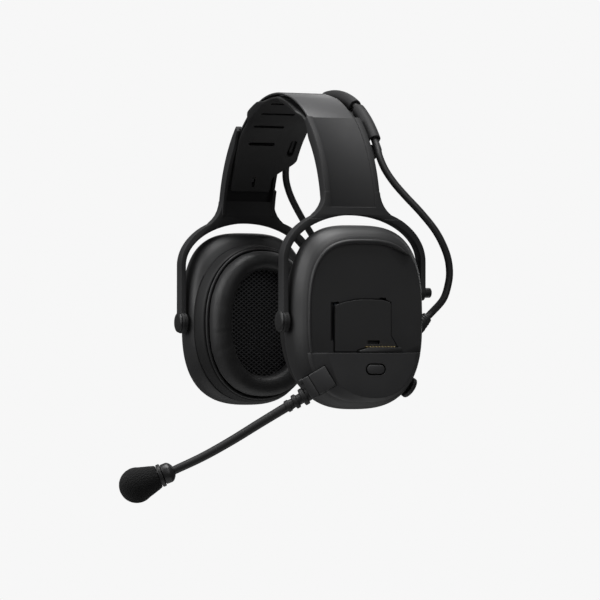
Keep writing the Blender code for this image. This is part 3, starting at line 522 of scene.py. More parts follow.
def strap_piece():
    """The soft strap: a shaped sheet with thickness, rounded edges and moulded slots."""
    rows, columns = 180, 48
    outer, inner = [], []
    for row in range(rows + 1):
        degrees = -72 + 144 * row / rows
        turn = abs(degrees)
        front = -15.0 + 1.8 * blend01(turn, 45, 62)
        front -= 3.3 * blend01(turn, 4, 14) * (1 - blend01(turn, 24, 34))
        rear = 27.0 - 13.8 * blend01(turn, 55.0, 66.5)
        if turn > 70.5:
            pinch = (turn - 70.5) * 0.5
            front, rear = front + pinch, rear - pinch
        line, under = [], []
        for column in range(columns + 1):
            across = front + (rear - front) * column / columns
            edge = min(column, columns - column) / columns * (rear - front)
            lip = 0.55 * (1 - min(edge / 0.8, 1.0)) ** 2
            radius = strap_radius(degrees, across)
            line.append(on_arc(radius - lip, degrees, across))
            under.append(on_arc(radius - STRAP_THICK + lip, degrees, across))
        outer.append(line)
        inner.append(under)
    bm = bmesh.new()
    sheets = []
    for grid in (outer, inner):
        sheets.append([[bm.verts.new(point) for point in line] for line in grid])
    for sheet in sheets:
        for a, b in zip(sheet, sheet[1:]):
            for i in range(columns):
                bm.faces.new((a[i], a[i + 1], b[i + 1], b[i]))
    top, under = sheets
    for row in range(rows):
        for i in (0, columns):
            bm.faces.new((top[row][i], top[row + 1][i], under[row + 1][i], under[row][i]))
    for i in range(columns):
        for row in (0, rows):
            bm.faces.new((top[row][i], top[row][i + 1], under[row][i + 1], under[row][i]))
    strap = mesh_object("comfort_strap_skin", bm)
    for side in (-1, 1):
        for degrees, across, length in STRAP_SLOTS:
            carve(strap, slot_cutter(side * degrees, across, 2.4, length))
        carve(strap, slot_cutter(side * 48.0, 20.7, 12.5, 4.4))
        carve(strap, slot_cutter(side * 67.5, 1.3, 6.0, 2.0))
    return strap


def slot_cutter(degrees, across, length, width):
    """A rounded slot cutter standing on the strap; length runs along the arc."""
    turn = math.radians(degrees)
    out = Vector((math.sin(turn), 0.0, math.cos(turn)))
    place = frame_at(on_arc(74.0, degrees, across), out, (out.z, 0.0, -out.x))
    sides = 24
    small = min(length, width) / 2
    rings = []
    for height in (-6, 6):
        ring = []
        for i in range(sides):
            a = 2 * math.pi * (i + 0.5) / sides
            x = math.copysign(length / 2 - small, math.cos(a)) + small * math.cos(a)
            y = math.copysign(width / 2 - small, math.sin(a)) + small * math.sin(a)
            ring.append(place @ (Vector((x, y, height)) * MM))
        rings.append(ring)
    return skin("slot", rings)


# ---- arms
ARCH = (0.7, 34.5)  # centre of the fork's arch: y, up
ARCH_OUT, ARCH_IN = (44.7, 31.0), (41.7, 26.2)  # its half width and rise, outside and inside


def arm_piece():
    """Channel, neck and fork as one moulding with rounded edges."""
    def channel(degrees):
        """The outline: the front wall deepens near the tip, the rear one at the neck."""
        front = 72.8 + 3.4 * (1 - blend01(degrees, 41.0, 50.0)) * (degrees < 52)
        rear = 75.5 if degrees < 71.5 else 72.8
        return [(80.2, -16.6), (79.95, -17.1), (79.5, -17.25), (front, -17.25), (front, -15.35),
                (78.3, -15.35), (78.3, 15.35), (rear, 15.35), (rear, 17.25), (79.5, 17.25),
                (79.95, 17.1), (80.2, 16.6)]
    arm = arc_solid("arm_left_skin", channel, 40.6, 84.0, 120)
    outline = [(ARCH[0] + ARCH_OUT[0], REAR_UP)]
    outline += ellipse(ARCH, *ARCH_OUT, range(0, 57, 3))
    outline += [(23.6, 61.0), (21.3, 63.1), (19.5, 65.5), (18.2, 68.2), (17.4, 71.4),
                (17.25, 74.0)]
    outline += [(-y, up) for y, up in outline[:-7:-1]]
    outline += ellipse(ARCH, -ARCH_OUT[0], ARCH_OUT[1], range(56, -1, -3))
    outline += [(-44.0, 0.0), (-41.0, 0.0)]
    outline += ellipse(ARCH, *ARCH_IN, range(180, -1, -4))
    outline += [(42.4, REAR_UP)]
    fork = plate("fork", outline, 73.0, 80.5, bevel=0.0)
    eyes = []
    for y, up, radius in ((-42.5, 0.0, 6.3), (43.9, REAR_UP, 4.5)):
        place = frame_at(p(ARM_X, y, up), (0, 1, 0))
        eyes.append(lathe("eye", [(0, 1.6), (radius, 1.6), (radius, -1.6), (0, -1.6)], place, 48))
    carve(fork, *eyes, operation="UNION")
    carve(arm, fork, operation="UNION")
    beyond = [(80.25, -60), (95, -60), (95, 60), (80.25, 60)]
    carve(arm, arc_solid("outer", beyond, 40, 89.5, 60))

    def sunk(degrees):
        """The outline of the shallow panel in the channel's outer side."""
        half = 13.4 + 0.4 * blend01(degrees, 70, 80)
        return [(79.6, -half), (84.0, -half), (84.0, half), (79.6, half)]
    carve(arm, arc_solid("panel", sunk, 36.0, 84.5, 90))
    return rounded(arm, 0.35, 2, 40)


def make_arms():
    """Both arms with the studs and the bush that the cups tilt on."""
    both(arm_piece(), "arm_left", ARM, "black_plastic", "arm_left")
    front_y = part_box("arm_left")[0].y / MM
    rear_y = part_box("arm_left")[1].y / MM
    place = frame_at(p(ARM_X, front_y, 0), (0, -1, 0))
    profile = [(0, 1.5), (4.4, 1.5), (4.9, 1.42), *ball_end(6.0, 1.2, 0.7), (6.0, 0.3), (2.1, 0.3),
               (2.1, -6.6), (0, -6.6)]
    both(lathe("front_stud_left_skin", profile, place), "arm_left", SATIN, "black_plastic",
         "front_stud_left")
    profile = [(2.5, -3.4), (4.8, -3.4), (5.0, -3.6), (5.0, -4.1), (4.8, -4.3), (2.5, -4.3)]
    both(lathe("front_bush_left_skin", profile, place), "arm_left", DARKER, "black_plastic",
         "front_bush_left")
    band = [(5.2, -0.3), (6.2, -0.3), (6.55, -0.7), (6.55, -3.2), (6.2, -3.6), (5.2, -3.6)]
    both(lathe("front_hub_band_left", band, place), "arm_left", DARKER, "black_plastic")
    place = frame_at(p(ARM_X, rear_y, REAR_UP), (0, 1, 0))
    profile = [(0, 4.7), *ball_end(2.9, 4.7, 0.4), (2.9, 0.3), (2.0, 0.3), (2.0, -6.2), (0, -6.2)]
    both(lathe("rear_stud_left_skin", profile, place, 40), "arm_left", SATIN, "black_plastic",
         "rear_stud_left")


# ---- cable
def guide(name, start, end):
    """The channel that holds the cable on the strap's wing, with rounded lips."""
    wide, bore, foot = 3.7, 2.4, 74.6

    def half_round(size, angles):
        """Points on a half circle round the cable, as (radius, across)."""
        return [(radius, across)
                for across, radius in ellipse((CABLE_Y, CABLE_ARC), size, size, angles)]
    outline = [(foot, CABLE_Y - wide), *half_round(wide, range(180, -1, -12)),
               (foot, CABLE_Y + wide), (foot, CABLE_Y + bore),
               *half_round(bore, range(0, 181, 12)), (foot, CABLE_Y - bore)]
    made = arc_solid(name + "_skin", outline, start, end, max(6, int(abs(end - start) * 2)))
    rounded(made, 0.18, 2, 40)
    wear(made, "headband", ARM, "black_plastic", name)


def make_cable():
    """The crossover cable: a crown run on the band, and a loop to each cup."""
    crown = [on_arc(CABLE_ARC, -51 + 102 * i / 90, CABLE_Y) for i in range(91)]
    wear(sweep("cable_crown_skin", crown, CABLE_SIZE), "headband", RUBBER, "cable_rubber",
         "cable_crown")
    guide("cable_guide_crown", -5, 26)
    guide("cable_guide_left", 30, 51.5)
    guide("cable_guide_right", -50, -20)
    foot = p(80.5, 40.0, -3.0)
    axis = Vector((0.04, 0.74, 0.67)).normalized()
    tip = foot + axis * 8.5 * MM
    route = [on_arc(CABLE_ARC, 50.9, CABLE_Y), p(63.6, 22.6, 100.3), p(67.2, 22.6, 94.4),
             p(70.8, 24.4, 87.2), p(74.5, 28.4, 79.5), p(78.2, 34.0, 71.8), p(82.5, 42.0, 62.0),
             p(85.0, 50.3, 51.0), p(85.6, 56.3, 39.0), p(85.2, 58.4, 29.0), p(84.6, 57.6, 20.5),
             p(83.8, 54.8, 12.5), tip + axis * 3.5 * MM, tip - axis * 1.0 * MM]
    half = 60
    path = curve_through(route, 2 * half)
    for side, mark in ((1, "left"), (-1, "right")):
        turned = [[Vector((v.x * side, v.y, v.z)) for v in part]
                  for part in (path[:half + 1], path[half:])]
        top = sweep(f"cable_{mark}_upper", turned[0], CABLE_SIZE)
        low = sweep(f"cable_{mark}_lower", turned[1], CABLE_SIZE)
        for piece in (top, low):
            wear(piece, None, RUBBER, "cable_rubber")
        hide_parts(f"cable_{mark}")
        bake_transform(top)
        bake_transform(low)
    place = frame_at(foot, axis)
    profile = [(0, 8.6), (2.2, 8.6), *ball_end(3.1, 8.5, 0.3), (3.5, 7.0), (3.3, 6.8), (3.9, 5.6),
               (3.6, 5.4), (4.2, 3.6), (4.0, 3.4), (4.6, 1.4), (4.7, -1.0), (3.0, -3.0), (0, -3)]
    both(lathe("cable_gland_left_skin", profile, place, 48), "cup_left", RUBBER, "flex_rubber",
         "cable_gland_left")


# ---- cups
# Shell sections: x, half width, up, down, and how square the upper and lower halves are.
STATIONS = (
    (67.5, 39.1, 47.6, 48.5, 2.2, 2.3), (70.0, 39.8, 51.2, 49.2, 2.5, 2.45),
    (74.0, 40.3, 54.0, 50.0, 2.8, 2.6), (78.5, 40.4, 54.9, 50.2, 3.1, 2.65),
    (84.0, 40.0, 54.1, 49.6, 3.1, 2.65), (89.0, 38.1, 51.5, 47.8, 3.0, 2.65),
    (91.6, 36.4, 48.6, 46.1, 3.0, 2.6), (92.6, 35.5, 46.9, 45.2, 3.0, 2.6),
)
# The raised edge round the recess: x, half width, up, down.
BEAD = ((92.75, 35.25, 46.5, 44.9), (93.4, 35.3, 46.5, 44.9), (93.95, 35.05, 46.2, 44.7),
        (94.25, 34.6, 45.6, 44.3), (94.2, 34.1, 44.9, 43.8), (93.9, 33.8, 44.5, 43.5))
SQUARE = (3.0, 2.6)  # how square the face is, above and below
FACE = (33.6, 44.2, 43.2, *SQUARE)  # the recess: half width, up, down, squareness
FLOOR = 92.0  # the recess's floor, as x
POD_FOOT = 91.6  # where the control pod rises, as x


def stations(count=64):
    """Shell sections spaced evenly on a smooth curve through the main ones."""
    points = [Vector(numbers[:3]) for numbers in STATIONS]
    others = [Vector(numbers[3:]) for numbers in STATIONS]
    made = []
    for i, t in evenly(distances(points), count):
        near = (max(i - 1, 0), i, i + 1, min(i + 2, len(points) - 1))
        made.append((*between(*[points[j] for j in near], t),
                     *between(*[others[j] for j in near], t)))
    return made


def ring_at(x, half, up, down, a=2.2, b=2.3, count=128):
    """An oval ring of points at x, square by a in its upper half and b in its lower one."""
    return [p(x, y, z) for y, z in oval(half, up, down, a, b, count)]


def shell_solid(name):
    """A cup's closed body, with a raised bead round its flat face."""
    rings = [ring_at(*numbers) for numbers in stations()]
    rings += [ring_at(*numbers, *SQUARE) for numbers in BEAD]
    rings.append(ring_at(93.9, 20.0, 28.0, 27.0, *SQUARE))
    rings.append(ring_at(93.9, 6.0, 8.0, 8.0, 2.2, 2.2))
    return skin(name, rings, smooth=40)


def make_left_shell():
    """The shell with its docking recess, open to the rear, and room for hatch, pod and socket."""
    shell = shell_solid("cup_shell_left_skin")
    corner = 4.0
    keep = [(y, up) for y, up in oval(*FACE, 240) if y < 17.0 and up > LEDGE + corner]
    keep.sort(key=lambda point: math.atan2(point[1] + 60.0, point[0] - 60.0), reverse=True)
    edge = keep[0][0]
    outline = [(edge + corner * (1 - math.cos(math.radians(a))),
                LEDGE + corner * (1 - math.sin(math.radians(a)))) for a in range(90, -1, -15)]
    outline += [*keep[1:], (26.0, 39.0), (46.0, 30.0), (46.0, LEDGE)]
    recess = plate("recess", outline, FLOOR, 104.0, bevel=0.0)
    window = plate("window", [(-18.2, -17.6), (-18.2, -11.2), (-19.8, -11.2), (-19.8, 10.6),
                              (-15.2, 10.9), (-14.6, 10.2), (-11.5, 11.1), (-4.0, 12.6),
                              (5.0, 12.8), (10.5, 12.7), (11.0, 13.4), (14.6, 13.2), (15.0, 12.0),
                              (18.1, 11.0), (18.1, -8.2), (24.2, -17.6)], 88.0, 96.0, bevel=0.0)
    below = plate("below", [(-60.0, LEDGE), (-60.0, -70.0), (60.0, -70.0), (60.0, LEDGE)],
                  POD_FOOT, 104.0, bevel=0.0)
    carve(shell, recess, window, below, socket_room())
    return flat_shaded(rounded(shell, 0.3, 2, 50))


def socket_room():
    """The pocket that the socket and the plug's flange stand in."""
    return block("room", (11.1, 13.1, 16.1),
                 socket_place() @ Matrix.Translation((0.0, 0.0, 2.45 * MM)))


def socket_place():
    """The boom socket's box: Z along the boom, X across the boom's plane."""
    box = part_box("boom_socket")
    return frame_at((box[0] + box[1]) / 2, JOINT["boom_unplug"]["axis"], LIFT)


def make_right_shell():
    """The right shell with its plain face plate, shaped as for the left and mirrored."""
    shell = shell_solid("cup_shell_right_skin")
    carve(shell, plate("groove", oval(*FACE, 160), 92.6, 104.0, bevel=0.0))
    rounded(shell, 0.3, 2, 50)
    mirrored(shell.data)
    half, up, down, *square = FACE
    gap = 0.5
    inner = oval(half - gap, up - gap, down - gap, *square, 160)
    face = plate("face_plate_right_skin", inner, 92.3, 93.75, bevel=0.3)
    mirrored(face.data)
    wear(shell, "cup_right", SHELL, "black_plastic", "cup_shell_right")
    wear(face, "cup_right", PANEL, "black_plastic", "face_plate_right")


def make_back_ring():
    """The ring behind each cushion; its section is x, half width, up and down."""
    section = ((66.8, 39.0, 47.3, 48.4), (66.2, 39.15, 47.5, 48.6), (64.0, 38.8, 47.2, 48.4),
               (61.0, 38.2, 46.8, 48.1), (58.6, 37.6, 46.4, 47.9), (57.3, 37.1, 46.0, 47.5),
               (57.0, 36.5, 45.5, 47.0), (57.3, 35.7, 44.8, 46.3), (58.2, 35.3, 44.5, 46.0),
               (60.0, 35.1, 44.3, 45.8), (60.0, 24.6, 35.2, 35.2), (62.0, 24.6, 35.2, 35.2),
               (66.8, 34.0, 43.0, 44.4))
    rings = [ring_at(*numbers, 2.15, 2.2) for numbers in section]
    ring = skin("back_ring_left_skin", rings, loop=True, smooth=50)
    both(ring, "cup_left", RING, "black_plastic", "back_ring_left")


CUSHION = (52.2, 28.0, 37.6, 38.4)  # the ring's middle line: x, half width, up, down
CUSHION_WIDE = (6.9, 6.4, 7.0)  # half its width at the side, up, down
CUSHION_DEEP = 7.6  # half its depth
FRAMES = 20  # of the cloth simulation


def cushion_ring(steps, sides, shrink):
    """Rings of points round the pad, each a rounded square in section."""
    x_middle, half_middle, up_middle, down_middle = CUSHION
    side_wide, up_wide, down_wide = CUSHION_WIDE
    rings = [[] for k in range(steps)]
    for i in range(sides):
        turn = 2 * math.pi * i / sides
        out = math.copysign(abs(math.cos(turn)) ** 0.92, math.cos(turn)) * shrink
        deep = math.copysign(abs(math.sin(turn)) ** 0.92, math.sin(turn)) * shrink
        lean = (1.7 if deep > 0 else -0.8) * abs(deep)
        outline = oval(half_middle + side_wide * out - lean, up_middle + up_wide * out,
                       down_middle + down_wide * out, 2.2, 2.3, steps)
        for k, (y, z) in enumerate(outline):
            rings[k].append(p(x_middle - CUSHION_DEEP * deep, y, z))
    return rings


def blown_up(piece, voxel, pressure, cap, held):
    """Inflate a soft piece as cloth; points for which held is true stay, none moves past cap."""
    remesh = piece.modifiers.new("Remesh", "REMESH")
    remesh.mode = "VOXEL"
    remesh.voxel_size = voxel * MM
    applied(piece)
    rest = [vertex.co.copy() for vertex in piece.data.vertices]
    group = piece.vertex_groups.new(name="held")
    group.add([i for i, point in enumerate(rest) if held(point)], 1.0, "REPLACE")
    cloth = piece.modifiers.new("Cloth", "CLOTH")
    cloth.settings.quality = 6
    cloth.settings.mass = 0.05
    cloth.settings.use_pressure = True
    cloth.settings.uniform_pressure_force = pressure
    cloth.settings.vertex_group_mass = "held"
    cloth.settings.effector_weights.gravity = 0.0
    scene = bpy.context.scene
    for step in range(1, FRAMES + 1):
        scene.frame_set(step)
    view = bpy.context.evaluated_depsgraph_get()
    swollen = piece.evaluated_get(view).to_mesh()
    moved = [vertex.co.copy() for vertex in swollen.vertices]
    piece.modifiers.clear()
    scene.frame_set(1)
    for vertex, start, end in zip(piece.data.vertices, rest, moved):
        change = end - start
        if change.length > cap * MM:
            change *= cap * MM / change.length
        vertex.co = start + change
    piece.vertex_groups.clear()
    finer = piece.modifiers.new("Subdivision", "SUBSURF")
    finer.levels = finer.render_levels = 1
    return applied(piece)


def cushion_piece():
    """A soft ring, blown up as cloth and then puckered."""
    cushion = skin("ear_cushion_left_skin", cushion_ring(120, 24, 0.92), loop=True, smooth=80)
    x_middle, half, up, down = CUSHION
    base = x_middle + 0.75 * CUSHION_DEEP
    blown_up(cushion, 2.6, 4.0, 0.9, lambda point: point.x > base * MM)
    for vertex in cushion.data.vertices:
        point = vertex.co
        turn = math.atan2((point.z - PIVOT_Z) / ((up + down) / 2), (point.y - CUP_Y * MM) / half)
        pucker = noise.noise(Vector((math.cos(turn) * 5, math.sin(turn) * 5, 0.4)))
        fold = noise.noise(Vector((math.cos(turn) * 17, math.sin(turn) * 17, 3.0)))
        point.x += (0.30 * pucker + 0.22 * fold) * MM
    return cushion


def welt_rings(path, radius, sides=12):
    """Small circles round a closed path, for the piping on the cushion's seam."""
    out = Vector((1.0, 0.0, 0.0))
    rings = []
    for i, point in enumerate(path):
        ahead = (path[(i + 1) % len(path)] - path[i - 1]).normalized()
        rings.append(circle(point, ahead.cross(out).normalized(), out, radius, sides))
    return rings


def make_cups():
    """Shells, back rings, cushions with their piping, and mesh covers."""
    shell = make_left_shell()
    wear(shell, "cup_left", SHELL, "black_plastic", "cup_shell_left", "dock_plate")
    make_right_shell()
    make_back_ring()
    for piece in both(cushion_piece(), "cup_left", LEATHER, "cushion_cover",
                      "ear_cushion_left"):
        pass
    path = ring_at(56.5, 34.9, 44.4, 45.9, 2.15, 2.25, 160)
    welt = skin("cushion_welt_left", welt_rings(path, 0.95), loop=True, smooth=80)
    both(welt, "cup_left", LEATHER, "cushion_cover")
    dome = [ring_at(60.9, 23.6, 34.4, 34.4), ring_at(60.35, 23.6, 34.4, 34.4),
            ring_at(60.1, 18.0, 27.0, 27.0), ring_at(60.0, 8.0, 12.0, 12.0)]
    both(skin("mesh_cover_left_skin", dome, smooth=60), "cup_left", NET, "mesh_fabric",
         "mesh_cover_left")


# ---- left cup's face
BUTTON = (5.8, -27.3)  # middle of the power button: y, up


def stadium(middle, length, height, count=16):
    """A (y, up) outline with straight sides and round ends."""
    radius = height / 2
    reach = length / 2 - radius
    points = []
    for i in range(2 * count + 2):
        side = 1 if i <= count else -1
        turn = math.radians(-90 + 180 * (i % (count + 1)) / count)
        points.append((middle[0] + side * (reach + radius * math.cos(turn)),
                       middle[1] + side * radius * math.sin(turn)))
    return points


def make_face():
    """What fills the docking recess and what lies below it."""
    hatch = plate("battery_hatch_skin", [
        (-17.6, -17.4), (-3.9, -17.4), (-3.6, -16.3), (3.0, -14.6), (21.4, -14.6), (17.5, -8.3),
        (17.5, 9.9), (17.0, 10.9), (13.0, 11.9), (5.0, 12.4), (-4.0, 12.2), (-11.5, 10.8),
        (-16.8, 9.2), (-17.6, 8.4)], 90.8, 93.0, bevel=0.35)
    slot_y, slot_up = 6.4, -12.0
    carve(hatch, block("slot", (8.0, 7.6, 2.0), Matrix.Translation(p(93.6, slot_y, slot_up))))
    flat_shaded(hatch)
    wear(hatch, "battery_hatch", PANEL, "black_satin", "battery_hatch")
    # A near-black sheet behind the finger slot: painted shade on the slot's floor.
    slot_shade_sheet = block("finger_slot_floor_painted_shade", (0.4, 8.4, 2.8),
                  Matrix.Translation(p(90.55, slot_y, slot_up)), 0.1)
    wear(slot_shade_sheet, "battery_hatch", DARKER, "black_satin")
    shelf = plate("contact_shelf_skin", [
        (-3.6, -17.7), (23.4, -17.7), (23.4, -15.4), (22.8, -14.9), (3.0, -14.9), (-3.6, -16.6)],
        92.4, 95.8, bevel=0.3)
    wear(shelf, "cup_left", SATIN, "black_satin", "contact_shelf")
    pins = [block(f"pin_{i}", (2.8, 0.8, 0.7),
                  Matrix.Translation(p(94.1, 1.4 + 1.9 * i, -14.6)), 0.15, 2)
            for i in range(10)]
    comb = pins[0]
    comb.name = "contact_pins"
    bpy.ops.object.select_all(action="DESELECT")
    with bpy.context.temp_override(active_object=comb, selected_editable_objects=pins):
        bpy.ops.object.join()
    wear(comb, "cup_left", GOLD, "gold_contacts", "contact_comb")
    wear(pod_piece(), "cup_left", POD, "black_plastic", "pod_cover")
    button = plate("power_button_skin", stadium(BUTTON, 10.9, 5.0), 93.1, 97.6, bevel=0.4)
    wear(button, "power_button", POD, "black_satin", "power_button")
    socket = block("boom_socket_skin", (10.8, 12.8, 10.8),
                   socket_place() @ Matrix.Translation((0, 0, 0.1 * MM)), 0.7)
    wear(socket, "cup_left", POD, "black_satin", "boom_socket")


def pod_piece():
    """The raised control housing below the recess, sloping down to the shell all round."""
    crease = [(-24.1, -18.0), (-22.8, -23.5), (-20.7, -29.0), (-18.4, -34.6), (-14.2, -38.3),
              (-9.5, -40.7), (-3.4, -42.8), (3.0, -43.7), (9.5, -43.6), (15.5, -42.3),
              (21.2, -39.4), (25.6, -35.0), (28.8, -29.6), (30.8, -24.0), (31.6, -18.0)]
    steps = 60
    points = curve_through([Vector((y, up, 0)) for y, up in crease], steps)
    rim = [Vector((y, up, 0.0)) for y, up in oval(36.5, 48.6, 46.2, *SQUARE, 240)
           if up < LEDGE - 0.2]
    rim = [Vector((rim[0].x, LEDGE, 0.0)), *rim, Vector((rim[-1].x, LEDGE, 0.0))]
    rim = curve_through(rim, steps)
    middle = Vector((4.0, LEDGE, 0.0))
    rings = []
    for x, keep in ((POD_FOOT - 0.6, 0.04), (POD_FOOT, 0.0), (POD_FOOT + 1.2, 0.045),
                    (93.7, 0.11), (94.2, 0.20), (94.9, 0.40), (95.8, 0.70), (96.9, 1.0)):
        rings.append([p(x, *a.lerp(b, keep).xy) for a, b in zip(rim, points)])
    for x, keep in ((97.12, 0.985), (97.2, 0.955), (97.2, 0.60)):
        rings.append([p(x, *middle.lerp(point, keep).xy) for point in points])
    pod = skin("pod_cover_skin", rings, smooth=50)
    carve(pod, plate("hole", stadium(BUTTON, 12.6, 6.6), 90.0, 99.0, bevel=0.0),
          socket_room())
    rounded(pod, 0.3, 2, 50)
    pod.data.set_sharp_from_angle(angle=math.radians(14))
    return pod


def make_knob():
    """The ribbed volume knob, with its shaft."""
    joint = JOINT["volume_turn"]
    place = frame_at(joint["pos_m"], joint["axis"])
    steps, rib_deep = 144, 0.35
    rings = []
    for radius, height, ridge in ((0.01, 0.0, 0), (4.6, 0.0, 0), (5.2, -0.1, 0), (5.9, -0.45, 1),
                                  (6.25, -0.9, 1), (6.25, -2.4, 1), (5.9, -2.8, 1), (5.2, -2.9, 0),
                                  (1.8, -2.9, 0), (1.8, -10.5, 0), (0.01, -10.5, 0)):
        ring = []
        for i in range(steps):
            turn = 2 * math.pi * i / steps
            size = radius - (rib_deep * ridge if i % 6 < 3 else 0.0)
            ring.append(place @ (Vector((size * math.cos(turn), size * math.sin(turn), height))
                                 * MM))
        rings.append(ring)
    knob = skin("volume_knob_skin", rings, smooth=40)
    wear(knob, "volume_knob", RUBBER, "black_plastic", "volume_knob")


# ---- boom
def make_boom():
    """Plug, stepped boot, and the flexible tube in pieces that blend across its hinges."""
    place = socket_place()
    flange = block("boom_plug_skin", (10.8, 12.8, 4.4),
                   place @ Matrix.Translation((0, 0, 7.8 * MM)), 0.6)
    lug = block("lug", (6.0, 3.0, 2.2), place @ Matrix.Translation((0, 5.2 * MM, 10.6 * MM)), 0.5)
    carve(flange, lug, operation="UNION")
    wear(flange, "boom_plug", POD, "black_plastic", "boom_plug")
    names = ("boom_inward_1", "boom_lift_1", "boom_inward_2", "boom_lift_2", "boom_inward_3")
    hinges = [Vector(JOINT[name]["pos_m"]) for name in names]
    jack = frame_at(hinges[0], JOINT["boom_unplug"]["axis"], LIFT)
    profile = [(0, -0.2), (0.9, -0.2), (2.9, -0.35), (3.5, -0.7), (3.5, -2.7), (3.0, -3.1),
               (2.8, -5.2), (3.8, -5.4), (4.2, -5.8), (4.2, -7.5), (3.8, -7.9), (3.1, -8.2),
               (3.1, -10.3), (4.7, -10.6), (5.1, -11.0), (5.1, -13.0), (4.7, -13.4), (3.9, -13.6),
               (3.9, -15.2), (0, -15.2)]
    wear(lathe("boom_boot_skin", profile, jack, 48), "boom_plug", RUBBER, "flex_rubber",
         "boom_boot")
    start = hinges[0] + (place.to_3x3() @ Vector((0, 0, -1))) * 4.0 * MM
    last = hinges[-1] + (hinges[-1] - hinges[-2]).normalized() * 0.6 * MM
    steps, sides = 200, 28
    path = curve_through([start, *hinges[:-1], last], steps)
    size = [2.75 - 0.35 * i / steps for i in range(steps + 1)]
    middles = [(a + b) / 2 for a, b in zip(hinges, hinges[1:])]
    cuts = [0] + [min(range(len(path)), key=lambda i: (path[i] - middle).length)
                  for middle in middles]
    for k in range(4):
        part = slice(cuts[k], cuts[k + 1] + 1)
        piece = sweep(f"boom_flex_{k + 1}", path[part], size[part], sides)
        wear(piece, None, RUBBER, "flex_rubber", f"boom_tube_{k + 1}")
        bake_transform(piece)
    end = sweep("boom_flex_end", path[cuts[4]:], size[cuts[4]:], sides)
    wear(end, "boom_4", RUBBER, "flex_rubber")


def make_microphone():
    """Housing, clamp ring and foam windscreen, along the line from the last hinge."""
    origin = Vector(JOINT["boom_inward_3"]["pos_m"])
    lo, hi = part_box("mic_capsule")
    axis = ((lo + hi) / 2 - origin).normalized()
    place = frame_at(origin, axis)
    housing = [(0, 11.3), (4.4, 11.3), (4.4, 6.9), *ball_end(5.8, 6.8, 0.4), (5.8, 3.4),
               (5.5, 2.6), (4.8, 1.7), (3.6, 0.8), (2.6, 0.3), (0, 0.2)]
    wear(lathe("mic_housing_skin", housing, place), "microphone", SATIN, "black_plastic",
         "mic_housing")
    ring = [(4.7, 9.2), (6.3, 9.2), (6.6, 8.9), (6.6, 7.4), (6.3, 7.1), (4.7, 7.1)]
    wear(lathe("mic_clamp_ring_skin", ring, place), "microphone", SATIN, "black_plastic",
         "mic_clamp_ring")
    ball, ball_at = 10.1, 22.9  # the windscreen's round end
    outer = [(ball * math.sin(math.radians(a)), ball_at + ball * math.cos(math.radians(a)))
             for a in range(0, 111, 5)]
    outer += [(9.0, 18.3), (8.4, 16.1), (7.8, 13.9), (7.1, 11.7), (6.6, 10.0), (6.0, 9.5),
              (4.7, 9.5), (4.7, 16.8), (0, 16.8)]
    foam = lathe("foam_windscreen_skin", outer, place, 128, smooth=60)
    sub = foam.modifiers.new("Subdivision", "SUBSURF")
    sub.levels = sub.render_levels = 1
    applied(foam)
    for vertex in foam.data.vertices:
        cell = noise.noise(vertex.co * 1400) + 0.5 * noise.noise(vertex.co * 2900)
        vertex.co += vertex.normal * cell * 0.07 * MM
    wear(foam, "microphone", FOAM, "foam", "foam_windscreen")


# ---- stage
# The camera's place in degrees and metres, and the lens in millimetres.
AZIMUTH, PITCH, YAW, DISTANCE, DROP, LENS = 66.0, 0.709, -0.053, 2.058, 0.0124, 208.7
GLOW, BACKDROP = 0.08, 0.93  # how bright the world lights, and looks


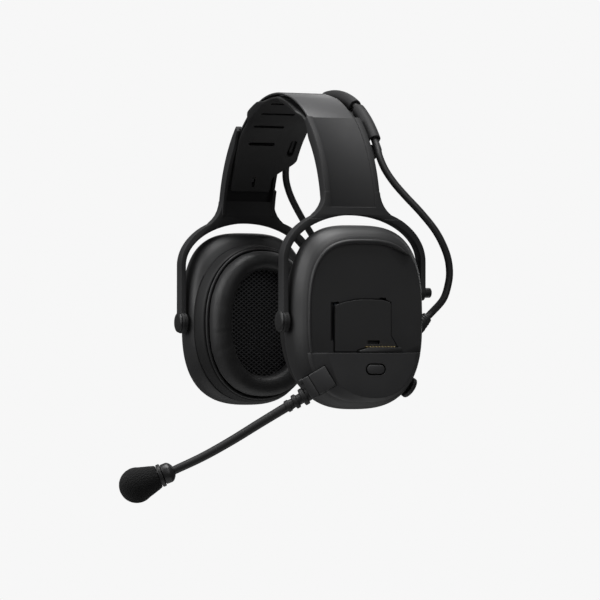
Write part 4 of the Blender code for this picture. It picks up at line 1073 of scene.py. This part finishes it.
def make_stage():
    """Camera, lamps, world, and a pale floor too far down for the camera to see."""
    azimuth = math.radians(AZIMUTH)
    toward = Vector((math.sin(azimuth), -math.cos(azimuth), 0.0))
    right = Vector((math.cos(azimuth), math.sin(azimuth), 0.0))
    up = Vector((0.0, 0.0, 1.0))
    centre = Vector((0.0, 0.0, PIVOT_Z))
    camera = added("camera", bpy.data.cameras.new("camera"))
    camera.data.sensor_width = 36.0
    camera.data.lens = LENS
    camera.data.clip_end = 20.0
    turn = Matrix((right, up, toward)).transposed()
    pitch = Matrix.Rotation(math.radians(PITCH), 3, right)
    yaw = Matrix.Rotation(math.radians(YAW), 3, up)
    spot = centre + toward * DISTANCE - up * DROP
    camera.matrix_world = Matrix.Translation(spot) @ (yaw @ pitch @ turn).to_4x4()
    scene = bpy.context.scene
    scene.camera = camera
    bm = bmesh.new()
    bmesh.ops.create_grid(bm, x_segments=1, y_segments=1, size=1.5)
    floor = mesh_object("studio_floor", bm)
    floor.location = (0.0, 0.0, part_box("cup_shell_left")[0].z - 1.6)
    paint, tree = blank_material("studio_floor_paint")
    place = node(tree, "ShaderNodeTexCoord").outputs["Object"]
    mottle = node(tree, "ShaderNodeTexNoise", Vector=place, Scale=3.0, Detail=4.0)
    tone = mixed(tree, mottle.outputs["Fac"], (0.90, 0.90, 0.90), (0.92, 0.92, 0.92))
    shade(tree, Base_Color=tone, Roughness=0.9)
    floor.data.materials.append(paint)
    world = bpy.data.worlds.new("studio")
    scene.world = world
    world.use_nodes = True
    tree = world.node_tree
    seen = node(tree, "ShaderNodeLightPath").outputs["Is Camera Ray"]
    level = node(tree, "ShaderNodeMapRange", seen, To_Min=GLOW, To_Max=BACKDROP)
    tree.nodes["Background"].inputs["Color"].default_value = (1, 1, 1, 1)
    feed(tree, tree.nodes["Background"].inputs["Strength"], level.outputs["Result"])
    scene.view_settings.view_transform = "Standard"
    # name, place from the centre in metres, size, watts
    lamps = (("key", right * -1.7 + toward * 0.5 + up * 0.8, 1.6, 24.0),
             ("front", right * 0.7 + toward * 1.6 + up * 0.9, 1.6, 8.0),
             ("top", toward * 0.1 + up * 1.8, 1.5, 40.0),
             ("back", right * 0.6 + toward * -1.8 + up * 0.7, 1.6, 9.0))
    for name, offset, size, power in lamps:
        lamp = bpy.data.lights.new(name, "AREA")
        lamp.energy = power
        lamp.shape = "DISK"
        lamp.size = size
        added(name, lamp).matrix_world = frame_at(centre + offset, offset, (0.3, 0.4, 0.1))


def finish_cad_nodes():
    """The parts inside the cups keep their CAD shape and get finished surfaces."""
    looks = {"spring_leaf": STEEL, "ear_foam_left": FOAM, "ear_foam_right": FOAM,
             "baffle_left": SATIN, "baffle_right": SATIN, "loudspeaker_left": STEEL,
             "loudspeaker_right": STEEL, "battery_cell": CELL, "circuit_board": BOARD,
             "button_switch": SATIN, "volume_encoder": SATIN, "mic_capsule": STEEL}
    for name, material in looks.items():
        piece = frame["nodes"][name]
        piece.data.materials.clear()
        piece.data.materials.append(material)


make_headband()
make_arms()
make_cable()
make_cups()
make_face()
make_knob()
make_boom()
make_microphone()
finish_cad_nodes()
make_stage()
